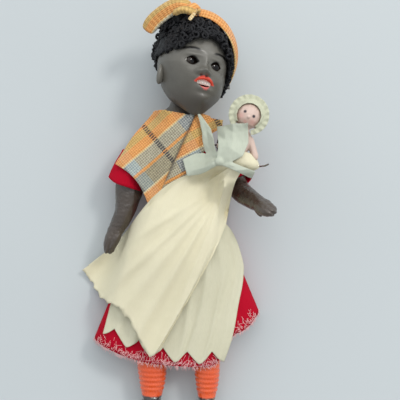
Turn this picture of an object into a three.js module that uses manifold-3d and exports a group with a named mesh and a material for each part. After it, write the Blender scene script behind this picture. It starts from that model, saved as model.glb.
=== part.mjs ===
// A small bisque-headed play doll in folk dress, lying on its back, with a baby doll tied to its chest.
// Millimetres. +Z is up from the table, +Y runs to the crown of the head and +X to the doll's left hand.
// The origin lies on the table, under the middle of the hip axis.
import * as THREE from "three";
import { mergeVertices } from "three/addons/utils/BufferGeometryUtils.js";
import Module from "manifold-3d";

const wasm = await Module();
wasm.setup();

// Driving dimensions of the jointed body.
const JOINT_Z = 15;
const SHOULDER_Y = 66;
const SHOULDER_X = 17.6;
const HIP_X = 6.6;
const HIP_TO_SOLE = 82;
const BODY_WALL = 2;
const NECK = new THREE.Vector3(-3.6, 79.5, 19.3);
const NECK_BALL_R = 8.4;
const ARM_TOP_R = 6.6;
const LEG_TOP_R = 8.2;
const WIRE_R = 0.6;
const ELASTIC_R = 1;

// Driving dimensions of the head, measured from its centre.
const HEAD_RISE = 27;
const HEAD_FORWARD = 8.8;
const HEAD_TURN = THREE.MathUtils.degToRad(22);
const HEAD_ROLL = THREE.MathUtils.degToRad(-9);
const HEAD_HALF = new THREE.Vector3(18.2, 22.8, 19.6);
const HEAD_WALL = 2.2;
const EYE_X = 6.5;
const EYE_Y = -1.5;
const EYE_R = 4.3;
const EYE_OPENING = { width: 6.4, height: 4.2 };
const MOUTH_Y = -11.6;
const MOUTH_OPENING = { width: 6.6, height: 2.8 };
const WIG_THICKNESS = 3.6;
const WIG_SIDE = 1.9;
const CHIN_DROP = 3.4;
const SCARF_WIDTH = 15;

// Cloth, clearances and the small swaddled doll.
const CLOTH = 0.8;
const CLEAR = 0.3;
const DRAPE_GAP = 0.7;
const WAIST_Y = 32;
const SKIRT_LENGTH = 84.3;
const SKIRT_FLARE = [20.5, 24.5];
const HEM_TOOTH = 7.5;
const BABY_HEAD_R = 7;
const BABY_LEAN = THREE.MathUtils.degToRad(-16);

const skinColour = 0x3a332e;
const MATERIALS = {
  bisque: paint(skinColour, 0.55),
  composition: paint(0x33291f, 0.4),
  glass: paint(0x15100c, 0.05),
  enamel: paint(0xf2ece0, 0.3),
  plaster: paint(0xe6e0d4, 0.95),
  card: paint(0xa08a68, 0.9),
  mohair: paint(0x0b0b10, 0.85),
  wood: paint(0xb08a58, 0.7),
  wire: paint(0x6c6c6c, 0.4, 0.9),
  elastic: paint(0xd8d0c0, 0.9),
  redCotton: paint(0xb4142c, 0.9),
  plaid: paint(0xc08850, 0.9),
  whiteCotton: paint(0xdcd8c4, 0.9),
  creamCotton: paint(0xe0d6b4, 0.9),
  paleRibbon: paint(0xd2dad2, 0.6),
  stocking: paint(0xd8481a, 0.35),
  pinkBisque: paint(0xe2b8a8, 0.5),
};

const doll = new THREE.Group();

function paint(color, roughness, metalness = 0) {
  return new THREE.MeshStandardMaterial({ color, roughness, metalness });
}

function piece(name, geometry, material) {
  const mesh = new THREE.Mesh(geometry, material);
  mesh.name = name;
  doll.add(mesh);
  return mesh;
}

const vec = (x, y, z) => new THREE.Vector3(x, y, z);
const clamp01 = (t) => Math.min(1, Math.max(0, t));
const ease = (t) => clamp01(t) ** 2 * (3 - 2 * clamp01(t));
const mix = (a, b, t) => a + (b - a) * t;
const bump = (x, y, x0, y0, sx, sy) => Math.exp(-(((x - x0) / sx) ** 2) - ((y - y0) / sy) ** 2);

// Closed solids from rows of points: coincident corners are merged and the faces turned outwards.
function closedGeometry(points, triangles) {
  const raw = new THREE.BufferGeometry();
  raw.setAttribute("position", new THREE.Float32BufferAttribute(points.flatMap((p) => [p.x, p.y, p.z]), 3));
  raw.setIndex(triangles.flat());
  const geometry = mergeVertices(raw, 1e-4);
  const index = geometry.index.array;
  const kept = [];
  for (let i = 0; i < index.length; i += 3) {
    const [a, b, c] = index.slice(i, i + 3);
    if (a !== b && b !== c && c !== a) kept.push([a, b, c]);
  }
  const at = (i) => vec().fromBufferAttribute(geometry.attributes.position, i);
  const volume = kept.reduce((sum, [a, b, c]) => sum + at(a).dot(at(b).cross(at(c))), 0);
  geometry.setIndex(kept.flatMap(([a, b, c]) => (volume < 0 ? [a, c, b] : [a, b, c])));
  return geometry;
}

function quad(triangles, a, b, c, d) {
  triangles.push([a, b, c], [a, c, d]);
}

// A solid through closed rings of equal count, with a fan over each end.
function loft(rings) {
  const count = rings[0].length;
  const points = rings.flat();
  const triangles = [];
  for (let r = 0; r + 1 < rings.length; r++) {
    for (let i = 0; i < count; i++) {
      const j = (i + 1) % count;
      quad(triangles, r * count + i, r * count + j, (r + 1) * count + j, (r + 1) * count + i);
    }
  }
  for (const r of [0, rings.length - 1]) {
    const centre = rings[r].reduce((sum, p) => sum.add(p), vec(0, 0, 0)).divideScalar(count);
    const tip = points.push(centre) - 1;
    for (let i = 0; i < count; i++) {
      const edge = [r * count + i, r * count + ((i + 1) % count)];
      triangles.push(r === 0 ? [edge[1], edge[0], tip] : [edge[0], edge[1], tip]);
    }
  }
  return closedGeometry(points, triangles);
}

// A thick sheet: wall(u, v) gives the point on its upper and on its lower face.
function sheet(columns, rows, wall) {
  const upper = [];
  const lower = [];
  for (let j = 0; j <= rows; j++) {
    for (let i = 0; i <= columns; i++) {
      const [top, bottom] = wall(i / columns, j / rows);
      upper.push(top);
      lower.push(bottom);
    }
  }
  const wide = columns + 1;
  const under = upper.length;
  const triangles = [];
  for (let j = 0; j < rows; j++) {
    for (let i = 0; i < columns; i++) {
      const a = j * wide + i;
      quad(triangles, a, a + 1, a + wide + 1, a + wide);
      quad(triangles, under + a, under + a + wide, under + a + wide + 1, under + a + 1);
    }
  }
  const border = [];
  for (let i = 0; i < columns; i++) border.push(i);
  for (let j = 0; j < rows; j++) border.push(j * wide + columns);
  for (let i = columns; i > 0; i--) border.push(rows * wide + i);
  for (let j = rows; j > 0; j--) border.push(j * wide);
  border.forEach((a, k) => {
    const b = border[(k + 1) % border.length];
    quad(triangles, b, a, under + a, under + b);
  });
  return closedGeometry([...upper, ...lower], triangles);
}

// An open tube with a wall: wall(u, v) gives the outer and the inner point, u going once round.
function sleeve(columns, rows, wall) {
  const outer = [];
  const inner = [];
  for (let j = 0; j <= rows; j++) {
    for (let i = 0; i < columns; i++) {
      const [out, inn] = wall(i / columns, j / rows);
      outer.push(out);
      inner.push(inn);
    }
  }
  const under = outer.length;
  const triangles = [];
  for (let i = 0; i < columns; i++) {
    const k = (i + 1) % columns;
    for (let j = 0; j < rows; j++) {
      const [a, b] = [j * columns + i, j * columns + k];
      quad(triangles, a, b, b + columns, a + columns);
      quad(triangles, under + a, under + a + columns, under + b + columns, under + b);
    }
    const end = rows * columns;
    quad(triangles, k, i, under + i, under + k);
    quad(triangles, end + i, end + k, under + end + k, under + end + i);
  }
  return closedGeometry([...outer, ...inner], triangles);
}

// Joins and cuts.
function solid(geometry) {
  const bare = new THREE.BufferGeometry();
  bare.setAttribute("position", geometry.attributes.position.clone());
  if (geometry.index) bare.setIndex(geometry.index.clone());
  const merged = mergeVertices(bare, 1e-4);
  const vertProperties = new Float32Array(merged.attributes.position.array);
  const triVerts = new Uint32Array(merged.index.array);
  return new wasm.Manifold(new wasm.Mesh({ numProp: 3, vertProperties, triVerts }));
}

function geometryOf(manifold) {
  const { numProp, vertProperties, triVerts } = manifold.getMesh();
  const points = [];
  for (let i = 0; i < vertProperties.length; i += numProp) {
    points.push(vec(vertProperties[i], vertProperties[i + 1], vertProperties[i + 2]));
  }
  const triangles = [];
  for (let i = 0; i < triVerts.length; i += 3) triangles.push([...triVerts.slice(i, i + 3)]);
  return closedGeometry(points, triangles);
}

const join = (...geometries) => geometryOf(geometries.map(solid).reduce((a, b) => a.add(b)));
const cut = (geometry, ...tools) => geometryOf(tools.map(solid).reduce((a, b) => a.subtract(b), solid(geometry)));
const keep = (geometry, tool) => geometryOf(solid(geometry).intersect(solid(tool)));

// Simple tools, placed where they are used.
function ball(radius, centre, across = 20, stretch = vec(1, 1, 1)) {
  const geometry = new THREE.SphereGeometry(radius, across, Math.round(across * 0.6));
  return geometry.scale(stretch.x, stretch.y, stretch.z).translate(centre.x, centre.y, centre.z);
}

function block(low, high) {
  const size = high.clone().sub(low);
  const middle = high.clone().add(low).multiplyScalar(0.5);
  return new THREE.BoxGeometry(size.x, size.y, size.z).translate(middle.x, middle.y, middle.z);
}

function rodAlongX(radius, from, to, y, z, sides = 12) {
  const geometry = new THREE.CylinderGeometry(radius, radius, Math.abs(to - from), sides);
  return geometry.rotateZ(Math.PI / 2).translate((from + to) / 2, y, z);
}

function rodAlongY(radius, from, to, x, z, sides = 12) {
  const geometry = new THREE.CylinderGeometry(radius, radius, Math.abs(to - from), sides);
  return geometry.translate(x, (from + to) / 2, z);
}

// A round cord or wire through a few points.
function cord(points, radius, steps, sides = 8) {
  const section = new THREE.Shape().absarc(0, 0, radius, 0, 2 * Math.PI);
  const extrudePath = new THREE.CatmullRomCurve3(points);
  return new THREE.ExtrudeGeometry(section, { steps, curveSegments: sides, bevelEnabled: false, extrudePath });
}

const mirrored = (geometry) => closedGeometry(...flipped(geometry));

function flipped(geometry) {
  const position = geometry.attributes.position;
  const points = [];
  const mirror = vec(-1, 1, 1);
  for (let i = 0; i < position.count; i++) points.push(vec().fromBufferAttribute(position, i).multiply(mirror));
  const triangles = [];
  const index = geometry.index.array;
  for (let i = 0; i < index.length; i += 3) triangles.push([...index.slice(i, i + 3)]);
  return [points, triangles];
}

// Values between stations, each a row of [place, value, value, ...] in rising order of place.
function between(stations, place) {
  const last = stations.length - 1;
  if (place <= stations[0][0]) return stations[0].slice(1);
  if (place >= stations[last][0]) return stations[last].slice(1);
  const i = stations.findIndex((row) => row[0] > place) - 1;
  const [a, b] = [stations[i], stations[i + 1]];
  const span = b[0] - a[0];
  const t = (place - a[0]) / span;
  const slope = (k, j) => {
    const [p, n] = [stations[Math.max(j - 1, 0)], stations[Math.min(j + 1, last)]];
    return (n[k] - p[k]) / (n[0] - p[0]);
  };
  return a.slice(1).map((value, c) => {
    const k = c + 1;
    const [t2, t3] = [t * t, t * t * t];
    return (
      (2 * t3 - 3 * t2 + 1) * value +
      (t3 - 2 * t2 + t) * span * slope(k, i) +
      (3 * t2 - 2 * t3) * b[k] +
      (t3 - t2) * span * slope(k, i + 1)
    );
  });
}

// A rounded ring in the XZ plane at height y.
function ring(x, y, z, halfWidth, halfDepth, sides, power = 2) {
  return Array.from({ length: sides }, (_, i) => {
    const a = (2 * Math.PI * i) / sides;
    const round = (t) => Math.sign(t) * Math.abs(t) ** (2 / power);
    return vec(x + halfWidth * round(Math.cos(a)), y, z + halfDepth * round(Math.sin(a)));
  });
}

// The highest point of some meshes under a small spot of the plan, which is what cloth laid there rests on.
const caster = new THREE.Raycaster();
const DOWN = vec(0, 0, -1);
function topUnder(x, y, meshes, reach) {
  let top = 0;
  for (let k = 0; k < 9; k++) {
    const a = (Math.PI * k) / 4;
    const r = k === 8 ? 0 : reach;
    caster.set(vec(x + r * Math.cos(a), y + r * Math.sin(a), 500), DOWN);
    const hit = caster.intersectObjects(meshes, false)[0];
    if (hit) top = Math.max(top, hit.point.z);
  }
  return top;
}

// Torso: two moulded composition halves glued at the sides, hollow, with seats for the neck, arms and legs.
const TORSO = [
  [-10, 5.5, 6, JOINT_Z, 0],
  [-4, 11.5, 9.5, JOINT_Z, 0],
  [6, 18.5, 11.8, JOINT_Z, 0],
  [16, 19, 12, JOINT_Z, 0],
  [34, 16, 10.8, JOINT_Z, 0],
  [52, 15.9, 11.6, JOINT_Z, 0],
  [66, 15.9, 11.2, JOINT_Z + 0.4, 0],
  [74, 14, 10.4, JOINT_Z + 2, NECK.x * 0.4],
  [80, 11.2, 9.8, NECK.z, NECK.x * 0.9],
];
const TORSO_ROWS = [-10, -5, 0, 6, 14, 22, 32, 42, 52, 60, 66, 74, 80];
const TORSO_SIDES = 16;
const TORSO_POWER = 2.3;
const HIP_TOP = LEG_TOP_R + 1;
const CORD_HOLE_R = 2.6;
const CAVITY_Y = [12.5, 68.5];

function torsoRing(y, offset, sides = TORSO_SIDES) {
  const [halfWidth, halfDepth, z, x] = between(TORSO, y);
  return ring(x, y, z, halfWidth + offset, halfDepth + offset, sides, TORSO_POWER);
}

function buildTorso() {
  const outside = loft(TORSO_ROWS.map((y) => torsoRing(y, 0)));
  const rows = Array.from({ length: 6 }, (_, i) => mix(CAVITY_Y[0], CAVITY_Y[1], i / 5));
  const cavity = loft(rows.map((y) => torsoRing(y, -BODY_WALL, 12)));
  const legRoom = block(vec(HIP_X, -40, -20), vec(60, HIP_TOP, 60));
  const halfChannel = CORD_HOLE_R + 2.2;
  const shell = cut(
    outside,
    cavity,
    ball(NECK_BALL_R + CLEAR + 0.2, NECK, 18),
    rodAlongY(3.4, CAVITY_Y[1] - 4, NECK.y, NECK.x, NECK.z),
    rodAlongX(CORD_HOLE_R, -40, 40, SHOULDER_Y, JOINT_Z),
    rodAlongX(CORD_HOLE_R, -40, 40, 0, JOINT_Z),
    block(vec(-halfChannel, -CORD_HOLE_R, JOINT_Z - 3), vec(halfChannel, CAVITY_Y[0] + 1, JOINT_Z + 3)),
    legRoom,
    legRoom.clone().translate(-60 - HIP_X, 0, 0),
  );
  const seam = CLEAR / 2;
  piece("torso_front", keep(shell, block(vec(-60, -60, JOINT_Z + seam), vec(60, 120, 60))), MATERIALS.composition);
  piece("torso_back", keep(shell, block(vec(-60, -60, -60), vec(60, 120, JOINT_Z - seam))), MATERIALS.composition);
}
buildTorso();

// Stringing: wire studs in the limbs and neck, and the elastic cords that draw them into their seats.
const STUD_R = 1.4;
const STUD_GRIP = 4.5;
const ARM_STUD_X = SHOULDER_X - 6;
const LEG_STUD_X = HIP_X - 2.8;
const NECK_STUD_Y = CAVITY_Y[1] - 6.5;

function stud(from, to, y) {
  const shank = rodAlongX(WIRE_R, from, to, y, JOINT_Z, 8);
  return join(shank, ball(STUD_R, vec(from, y, JOINT_Z), 8));
}

function buildStringing() {
  const reach = ARM_STUD_X - STUD_R - CLEAR;
  const armCord = rodAlongX(ELASTIC_R, -reach, reach, SHOULDER_Y, JOINT_Z, 10);
  piece("arm_elastic", closedGeometry(...pointsOf(armCord)), MATERIALS.elastic);
  const front = NECK.z + STUD_R + ELASTIC_R + CLEAR;
  const top = NECK_STUD_Y + STUD_R + ELASTIC_R + CLEAR;
  const side = [
    vec(LEG_STUD_X - 0.6, STUD_R + CLEAR + 0.2, JOINT_Z),
    vec(2.6, 7, JOINT_Z),
    vec(2.2, CAVITY_Y[0] + 1, JOINT_Z + 0.3),
    vec(3.4, 36, JOINT_Z + 2),
    vec(3.4 + NECK.x, top - 6, front),
  ];
  const across = side.map((p) => vec(-p.x, p.y, p.z)).reverse();
  across[0].x += 2 * NECK.x;
  const neckCord = cord([...side, vec(NECK.x, top, front), ...across], ELASTIC_R, 16, 3);
  piece("neck_elastic", closedGeometry(...pointsOf(neckCord)), MATERIALS.elastic);
}

function pointsOf(geometry) {
  const position = geometry.attributes.position;
  const points = [];
  for (let i = 0; i < position.count; i++) points.push(vec().fromBufferAttribute(position, i));
  const index = geometry.index ? geometry.index.array : points.map((_, i) => i);
  const triangles = [];
  for (let i = 0; i < index.length; i += 3) triangles.push([...index.slice(i, i + 3)]);
  return [points, triangles];
}
buildStringing();

// Legs: straight, with ribbed stockings and heeled shoes moulded in one with them.
const LEG_HALF_WIDTH = 7.2;
const LEG_X = HIP_X + CLEAR + 0.1 + LEG_HALF_WIDTH;
const LEG = [
  [10 - HIP_TO_SOLE, 5.2, 5.3, -3.4],
  [15 - HIP_TO_SOLE, 6, 5.6, -3.4],
  [26 - HIP_TO_SOLE, 7.5, 6.8, -3],
  [36 - HIP_TO_SOLE, 7.7, 7.1, -2.2],
  [44 - HIP_TO_SOLE, 7.2, 6.9, -1.4],
  [52 - HIP_TO_SOLE, 7.2, 7.3, -0.8],
  [-14, 7.3, 7.9, -0.2],
  [0, LEG_HALF_WIDTH, LEG_TOP_R, 0],
];
const LEG_SIDES = 12;
const RIB_PITCH = 2.5;
const RIB_HEIGHT = 0.35;
const RIB_COUNT = 11;
const STOCKING_FOOT_Y = 14 - HIP_TO_SOLE;
const STOCKING_TOP_Y = STOCKING_FOOT_Y + RIB_COUNT * RIB_PITCH;
const SHOE = [
  [2.2, 2.4, 10],
  [4.5, 4.9, 12.2],
  [10.5, 5.3, 13],
  [16, 5.4, 11],
  [21, 5.9, 8.2],
  [26, 5.9, 7],
  [29.5, 4.4, 6],
  [31, 2, 4.2],
];
const HEEL_STEP = 0.8;

function legSolid() {
  const rings = [];
  for (let i = 0; i <= 4; i++) {
    const rise = LEG_TOP_R * Math.cos((i * Math.PI) / 10 + 0.14);
    const depth = Math.sqrt(LEG_TOP_R ** 2 - rise ** 2);
    const width = LEG_HALF_WIDTH * Math.min(1, (depth / LEG_TOP_R) ** 0.35);
    rings.push(ring(LEG_X, rise, JOINT_Z, width, depth, LEG_SIDES));
  }
  const plain = (y, swell) => {
    const [halfWidth, halfDepth, drop] = between(LEG, y);
    return ring(LEG_X, y, JOINT_Z + drop, halfWidth + swell, halfDepth + swell, LEG_SIDES);
  };
  for (const share of [0, 1, 2, 3]) rings.push(plain(mix(-4, STOCKING_TOP_Y + 6.5, share / 3), 0));
  for (let i = RIB_COUNT; i > 0; i--) {
    const y = STOCKING_FOOT_Y + i * RIB_PITCH;
    rings.push(plain(y, 0), plain(y - RIB_PITCH / 2, RIB_HEIGHT));
  }
  rings.push(plain(STOCKING_FOOT_Y, 0), plain(STOCKING_FOOT_Y - 4, 0));
  return loft(rings);
}

function shoeSolid() {
  const rings = SHOE.map(([z, halfWidth, height]) => {
    const low = -HIP_TO_SOLE - 1.2;
    return Array.from({ length: LEG_SIDES }, (_, i) => {
      const a = (2 * Math.PI * i) / LEG_SIDES;
      const y = low + (height + 1.2) * (0.5 + 0.5 * Math.sin(a));
      return vec(LEG_X + halfWidth * Math.sign(Math.cos(a)) * Math.abs(Math.cos(a)) ** 0.8, y, z);
    }).map((p) => vec(p.x, Math.max(p.y, -HIP_TO_SOLE), p.z));
  });
  const arch = block(vec(0, -HIP_TO_SOLE - 1, 10.5), vec(60, HEEL_STEP - HIP_TO_SOLE, 15));
  return cut(loft(rings), arch);
}

function buildLegs() {
  const hole = rodAlongX(WIRE_R + CLEAR, HIP_X - 1, LEG_X - LEG_HALF_WIDTH + STUD_GRIP + CLEAR, 0, JOINT_Z, 10);
  const left = cut(join(legSolid(), shoeSolid()), hole);
  const leftStud = stud(LEG_STUD_X, LEG_X - LEG_HALF_WIDTH + STUD_GRIP, 0);
  piece("left_leg", left, MATERIALS.stocking);
  piece("left_leg_stud", leftStud, MATERIALS.wire);
  piece("right_leg", mirrored(left), MATERIALS.stocking);
  piece("right_leg_stud", mirrored(leftStud), MATERIALS.wire);
}
buildLegs();

// Arms: moulded composition. Each row is the way down the arm, the middle of the section and its half sizes.
const ARM_HALF_WIDTH = 6.2;
const ARM_X = SHOULDER_X + ARM_HALF_WIDTH;
const RIGHT_ARM = [
  [0, -ARM_X, SHOULDER_Y, JOINT_Z, ARM_HALF_WIDTH, ARM_TOP_R],
  [10, -ARM_X - 2.4, SHOULDER_Y - 10, JOINT_Z, 6.3, 6.4],
  [24, -ARM_X - 6.6, SHOULDER_Y - 23, JOINT_Z, 6.4, 6.2],
  [34, -ARM_X - 9.6, SHOULDER_Y - 32, JOINT_Z, 6, 5.8],
  [44, -ARM_X - 12.4, SHOULDER_Y - 42, JOINT_Z, 5.5, 5],
  [50, -ARM_X - 13.8, SHOULDER_Y - 47.5, JOINT_Z + 0.2, 4.9, 4.2],
  [56, -ARM_X - 14.6, SHOULDER_Y - 53, JOINT_Z + 0.5, 5.5, 3.7],
  [61, -ARM_X - 15.2, SHOULDER_Y - 57.5, JOINT_Z + 0.7, 4.6, 3.2],
  [64.5, -ARM_X - 15.5, SHOULDER_Y - 60.5, JOINT_Z + 0.7, 2.2, 1.9],
];
const LEFT_ARM = [
  [0, ARM_X, SHOULDER_Y, JOINT_Z, ARM_HALF_WIDTH, ARM_TOP_R],
  [8, ARM_X + 1.8, SHOULDER_Y - 8, JOINT_Z, 6.2, 6.3],
  [16, ARM_X + 3.8, SHOULDER_Y - 16, JOINT_Z, 6.1, 6.2],
  [22, ARM_X + 5.6, SHOULDER_Y - 22, JOINT_Z + 1.4, 6, 6.2],
  [30, ARM_X + 9, SHOULDER_Y - 26, JOINT_Z + 6.5, 5.8, 5.8],
  [40, ARM_X + 14, SHOULDER_Y - 29.5, JOINT_Z + 14, 4.9, 4.9],
  [46, ARM_X + 17, SHOULDER_Y - 31.5, JOINT_Z + 18.5, 4.4, 4.2],
  [51, ARM_X + 19.4, SHOULDER_Y - 33, JOINT_Z + 22, 5.2, 3.8],
  [56, ARM_X + 21.6, SHOULDER_Y - 34.6, JOINT_Z + 25.4, 4.6, 3.3],
  [59.5, ARM_X + 23, SHOULDER_Y - 35.6, JOINT_Z + 27.6, 2.2, 1.9],
];
const ARM_SIDES = 12;

// A ring across an arm at some way down it, grown by the given amount; past the wrist it shows the fingers.
function armRing(rows, way, grow, sides = ARM_SIDES) {
  const [x, y, z, halfWidth, halfDepth] = between(rows, way);
  const ahead = between(rows, way + 1);
  const behind = between(rows, way - 1);
  const along = vec(ahead[0] - behind[0], ahead[1] - behind[1], ahead[2] - behind[2]).normalize();
  const lean = way <= 0 ? vec(0, -1, 0) : along;
  const side = vec(1, 0, 0).addScaledVector(lean, -lean.x).normalize();
  const front = vec().crossVectors(side, lean).normalize();
  const fingers = 0.1 * ease((way - rows[rows.length - 1][0] + 14) / 4);
  return Array.from({ length: sides }, (_, i) => {
    const a = (2 * Math.PI * i) / sides;
    const groove = 1 - fingers * (i % 2);
    return vec(x, y, z)
      .addScaledVector(side, (halfWidth + grow) * Math.cos(a))
      .addScaledVector(front, (halfDepth + grow) * groove * Math.sin(a));
  });
}

function armSolid(rows, thumbSide) {
  const rings = [];
  for (let i = 0; i < 4; i++) {
    const rise = ARM_TOP_R * Math.cos((i * Math.PI) / 8 + 0.14);
    const depth = Math.sqrt(ARM_TOP_R ** 2 - rise ** 2);
    const width = ARM_HALF_WIDTH * (depth / ARM_TOP_R) ** 0.4;
    rings.push(ring(rows[0][1], SHOULDER_Y + rise, JOINT_Z, width, depth, ARM_SIDES).reverse());
  }
  const last = rows[rows.length - 1][0];
  const tops = rings.map((points) => points.map((_, i) => points[(i + ARM_SIDES - 1) % ARM_SIDES]));
  const ways = [0.01, 6, 12, 18, 23, 28, 33, 38, 43, 47, 50, 53, 56, 59].filter((way) => way < last - 1);
  const below = [...ways, last].map((way) => armRing(rows, way, 0));
  const limb = loft([...tops.map(alignTo(below[0])), ...below]);
  const [wrist, palm] = [between(rows, last - 12), between(rows, last - 6)];
  const along = vec(palm[0] - wrist[0], -6, 0).normalize();
  const thumb = ball(1, vec(0, 0, 0), 10, vec(1.8, 4.2, 1.7));
  thumb.rotateZ(Math.atan2(along.x, -along.y));
  thumb.translate(wrist[0] - thumbSide * along.y * 3 + along.x * 2, wrist[1] + along.y * 2, wrist[2] + 1.8);
  const hole = rodAlongX(WIRE_R + CLEAR, 0, SHOULDER_X + STUD_GRIP + CLEAR, SHOULDER_Y, JOINT_Z, 10);
  return cut(join(limb, thumb), rows === LEFT_ARM ? hole : mirrored(hole));
}

// Turns a ring's order so that it starts and runs as the next ring does.
function alignTo(target) {
  return (points) => {
    const runs = [points, [...points].reverse()];
    let best = null;
    for (const run of runs) {
      for (let shift = 0; shift < run.length; shift++) {
        const turned = run.map((_, i) => run[(i + shift) % run.length]);
        const error = turned.reduce((sum, p, i) => sum + (p.x - target[i].x) ** 2 + (p.z - target[i].z) ** 2, 0);
        if (!best || error < best.error) best = { error, turned };
      }
    }
    return best.turned;
  };
}

function buildArms() {
  const leftStud = stud(ARM_STUD_X, SHOULDER_X + STUD_GRIP, SHOULDER_Y);
  piece("left_arm", armSolid(LEFT_ARM, -1), MATERIALS.composition);
  piece("left_arm_stud", leftStud, MATERIALS.wire);
  piece("right_arm", armSolid(RIGHT_ARM, 1), MATERIALS.composition);
  piece("right_arm_stud", mirrored(leftStud), MATERIALS.wire);
}
buildArms();

// Head: everything on it is drawn about the head's own centre, face to +Z, and turns on the neck ball.
const neckPivot = new THREE.Group();
neckPivot.position.copy(NECK);
neckPivot.rotation.set(0, HEAD_TURN, HEAD_ROLL, "YXZ");
const head = new THREE.Group();
head.position.set(0, HEAD_RISE, HEAD_FORWARD);
neckPivot.add(head);
doll.add(neckPivot);

function headPiece(name, geometry, material) {
  const mesh = piece(name, geometry, material);
  head.add(mesh);
  return mesh;
}

const NECK_LOCAL = vec(0, -HEAD_RISE, -HEAD_FORWARD);
const CROWN_Y = 14.5;
const EAR_Y = -5.6;
const EYE_SINK = 0.2;
const NECK_BORE_R = 4.6;
const NECK_HOLE_R = 2.8;
const BUTTON_HOLE_R = WIRE_R + CLEAR + 0.7;
const BUTTON_THICKNESS = 3;

// The modelled face: what stands out from, or sinks into, the plain egg of the head.
function faceRelief(x, y) {
  const side = Math.abs(x);
  const nose = 4.4 * bump(x, y, 0, -6.3, 2.3, 2.4) + 2.2 * bump(x, y, 0, -2, 1.8, 4.2);
  const sockets = -1.9 * bump(side, y, EYE_X, EYE_Y, 4.4, 3);
  const brows = 0.7 * bump(side, y, 6.5, 3.8, 5, 1.6);
  const cheeks = 1.2 * bump(side, y, 9, -9.5, 5, 5);
  const lips = 1.9 * bump(x, y, 0, -9.8, 3.9, 1.3) + 1.7 * bump(x, y, 0, -13.6, 3.4, 1.2);
  const chin = 2.2 * bump(x, y, 0, -18.4, 5.4, 3.4);
  return nose + sockets + brows + cheeks + lips + chin;
}

function headPoint(turn, rise, grow, side = grow) {
  const half = HEAD_HALF.clone().add(vec(side, grow, grow));
  const level = Math.cos(rise);
  const p = vec(half.x * level * Math.sin(turn), half.y * Math.sin(rise), half.z * level * Math.cos(turn));
  const jaw = 1 - 0.09 * ease(-p.y / HEAD_HALF.y);
  p.x *= jaw;
  if (p.y < 0) p.z *= p.z < 0 ? 1 - 0.25 * ease(-p.y / HEAD_HALF.y) : 1 - 0.06 * ease(-p.y / HEAD_HALF.y);
  p.y -= CHIN_DROP * ease((-p.y - 9) / (HEAD_HALF.y - 9)) * ease((p.z + 2) / 10);
  return p;
}

// The grid is closer on the face than behind, so that the nose and lips are drawn.
function headSolid(columns, rows, grow, relief) {
  const rings = [];
  for (let j = 1; j < rows; j++) {
    const t = j / rows;
    const rise = Math.PI * (t - 0.5) + 0.15 * relief * Math.sin(2 * Math.PI * t);
    rings.push(
      Array.from({ length: columns }, (_, i) => {
        const a = (2 * Math.PI * i) / columns - Math.PI;
        const p = headPoint(a - 0.55 * relief * Math.sin(a), rise, grow);
        if (p.z > 0) p.z += relief * faceRelief(p.x, p.y) * ease(p.z / 8);
        return p;
      }),
    );
  }
  const pole = (rise) => [headPoint(0, rise, grow)];
  return capped(rings, pole(-Math.PI / 2)[0], pole(Math.PI / 2)[0]);
}

function capped(rings, first, last) {
  const count = rings[0].length;
  return loft([Array(count).fill(first), ...rings, Array(count).fill(last)]);
}

function ear(side) {
  const lobe = ball(1, vec(0, 0, 0), 10, vec(1.7, 4.8, 3));
  return lobe.rotateY(side * 0.5).translate(side * (HEAD_HALF.x - 0.6), EAR_Y, -1);
}

function eyeCentre(side) {
  const egg = Math.sqrt(1 - (EYE_X / HEAD_HALF.x) ** 2 - (EYE_Y / HEAD_HALF.y) ** 2) * HEAD_HALF.z;
  return vec(side * EYE_X, EYE_Y, egg + faceRelief(EYE_X, EYE_Y) - EYE_R - EYE_SINK);
}

// An almond opening through the face, pointed at both corners.
function almond(width, height, x, y, depth) {
  const outline = new THREE.Shape();
  outline.moveTo(-width / 2, 0);
  outline.quadraticCurveTo(0, height, width / 2, 0);
  outline.quadraticCurveTo(0, -height, -width / 2, 0);
  const options = { depth, bevelEnabled: false, curveSegments: 8 };
  return new THREE.ExtrudeGeometry(outline, options).translate(x, y, 30 - depth);
}

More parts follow.
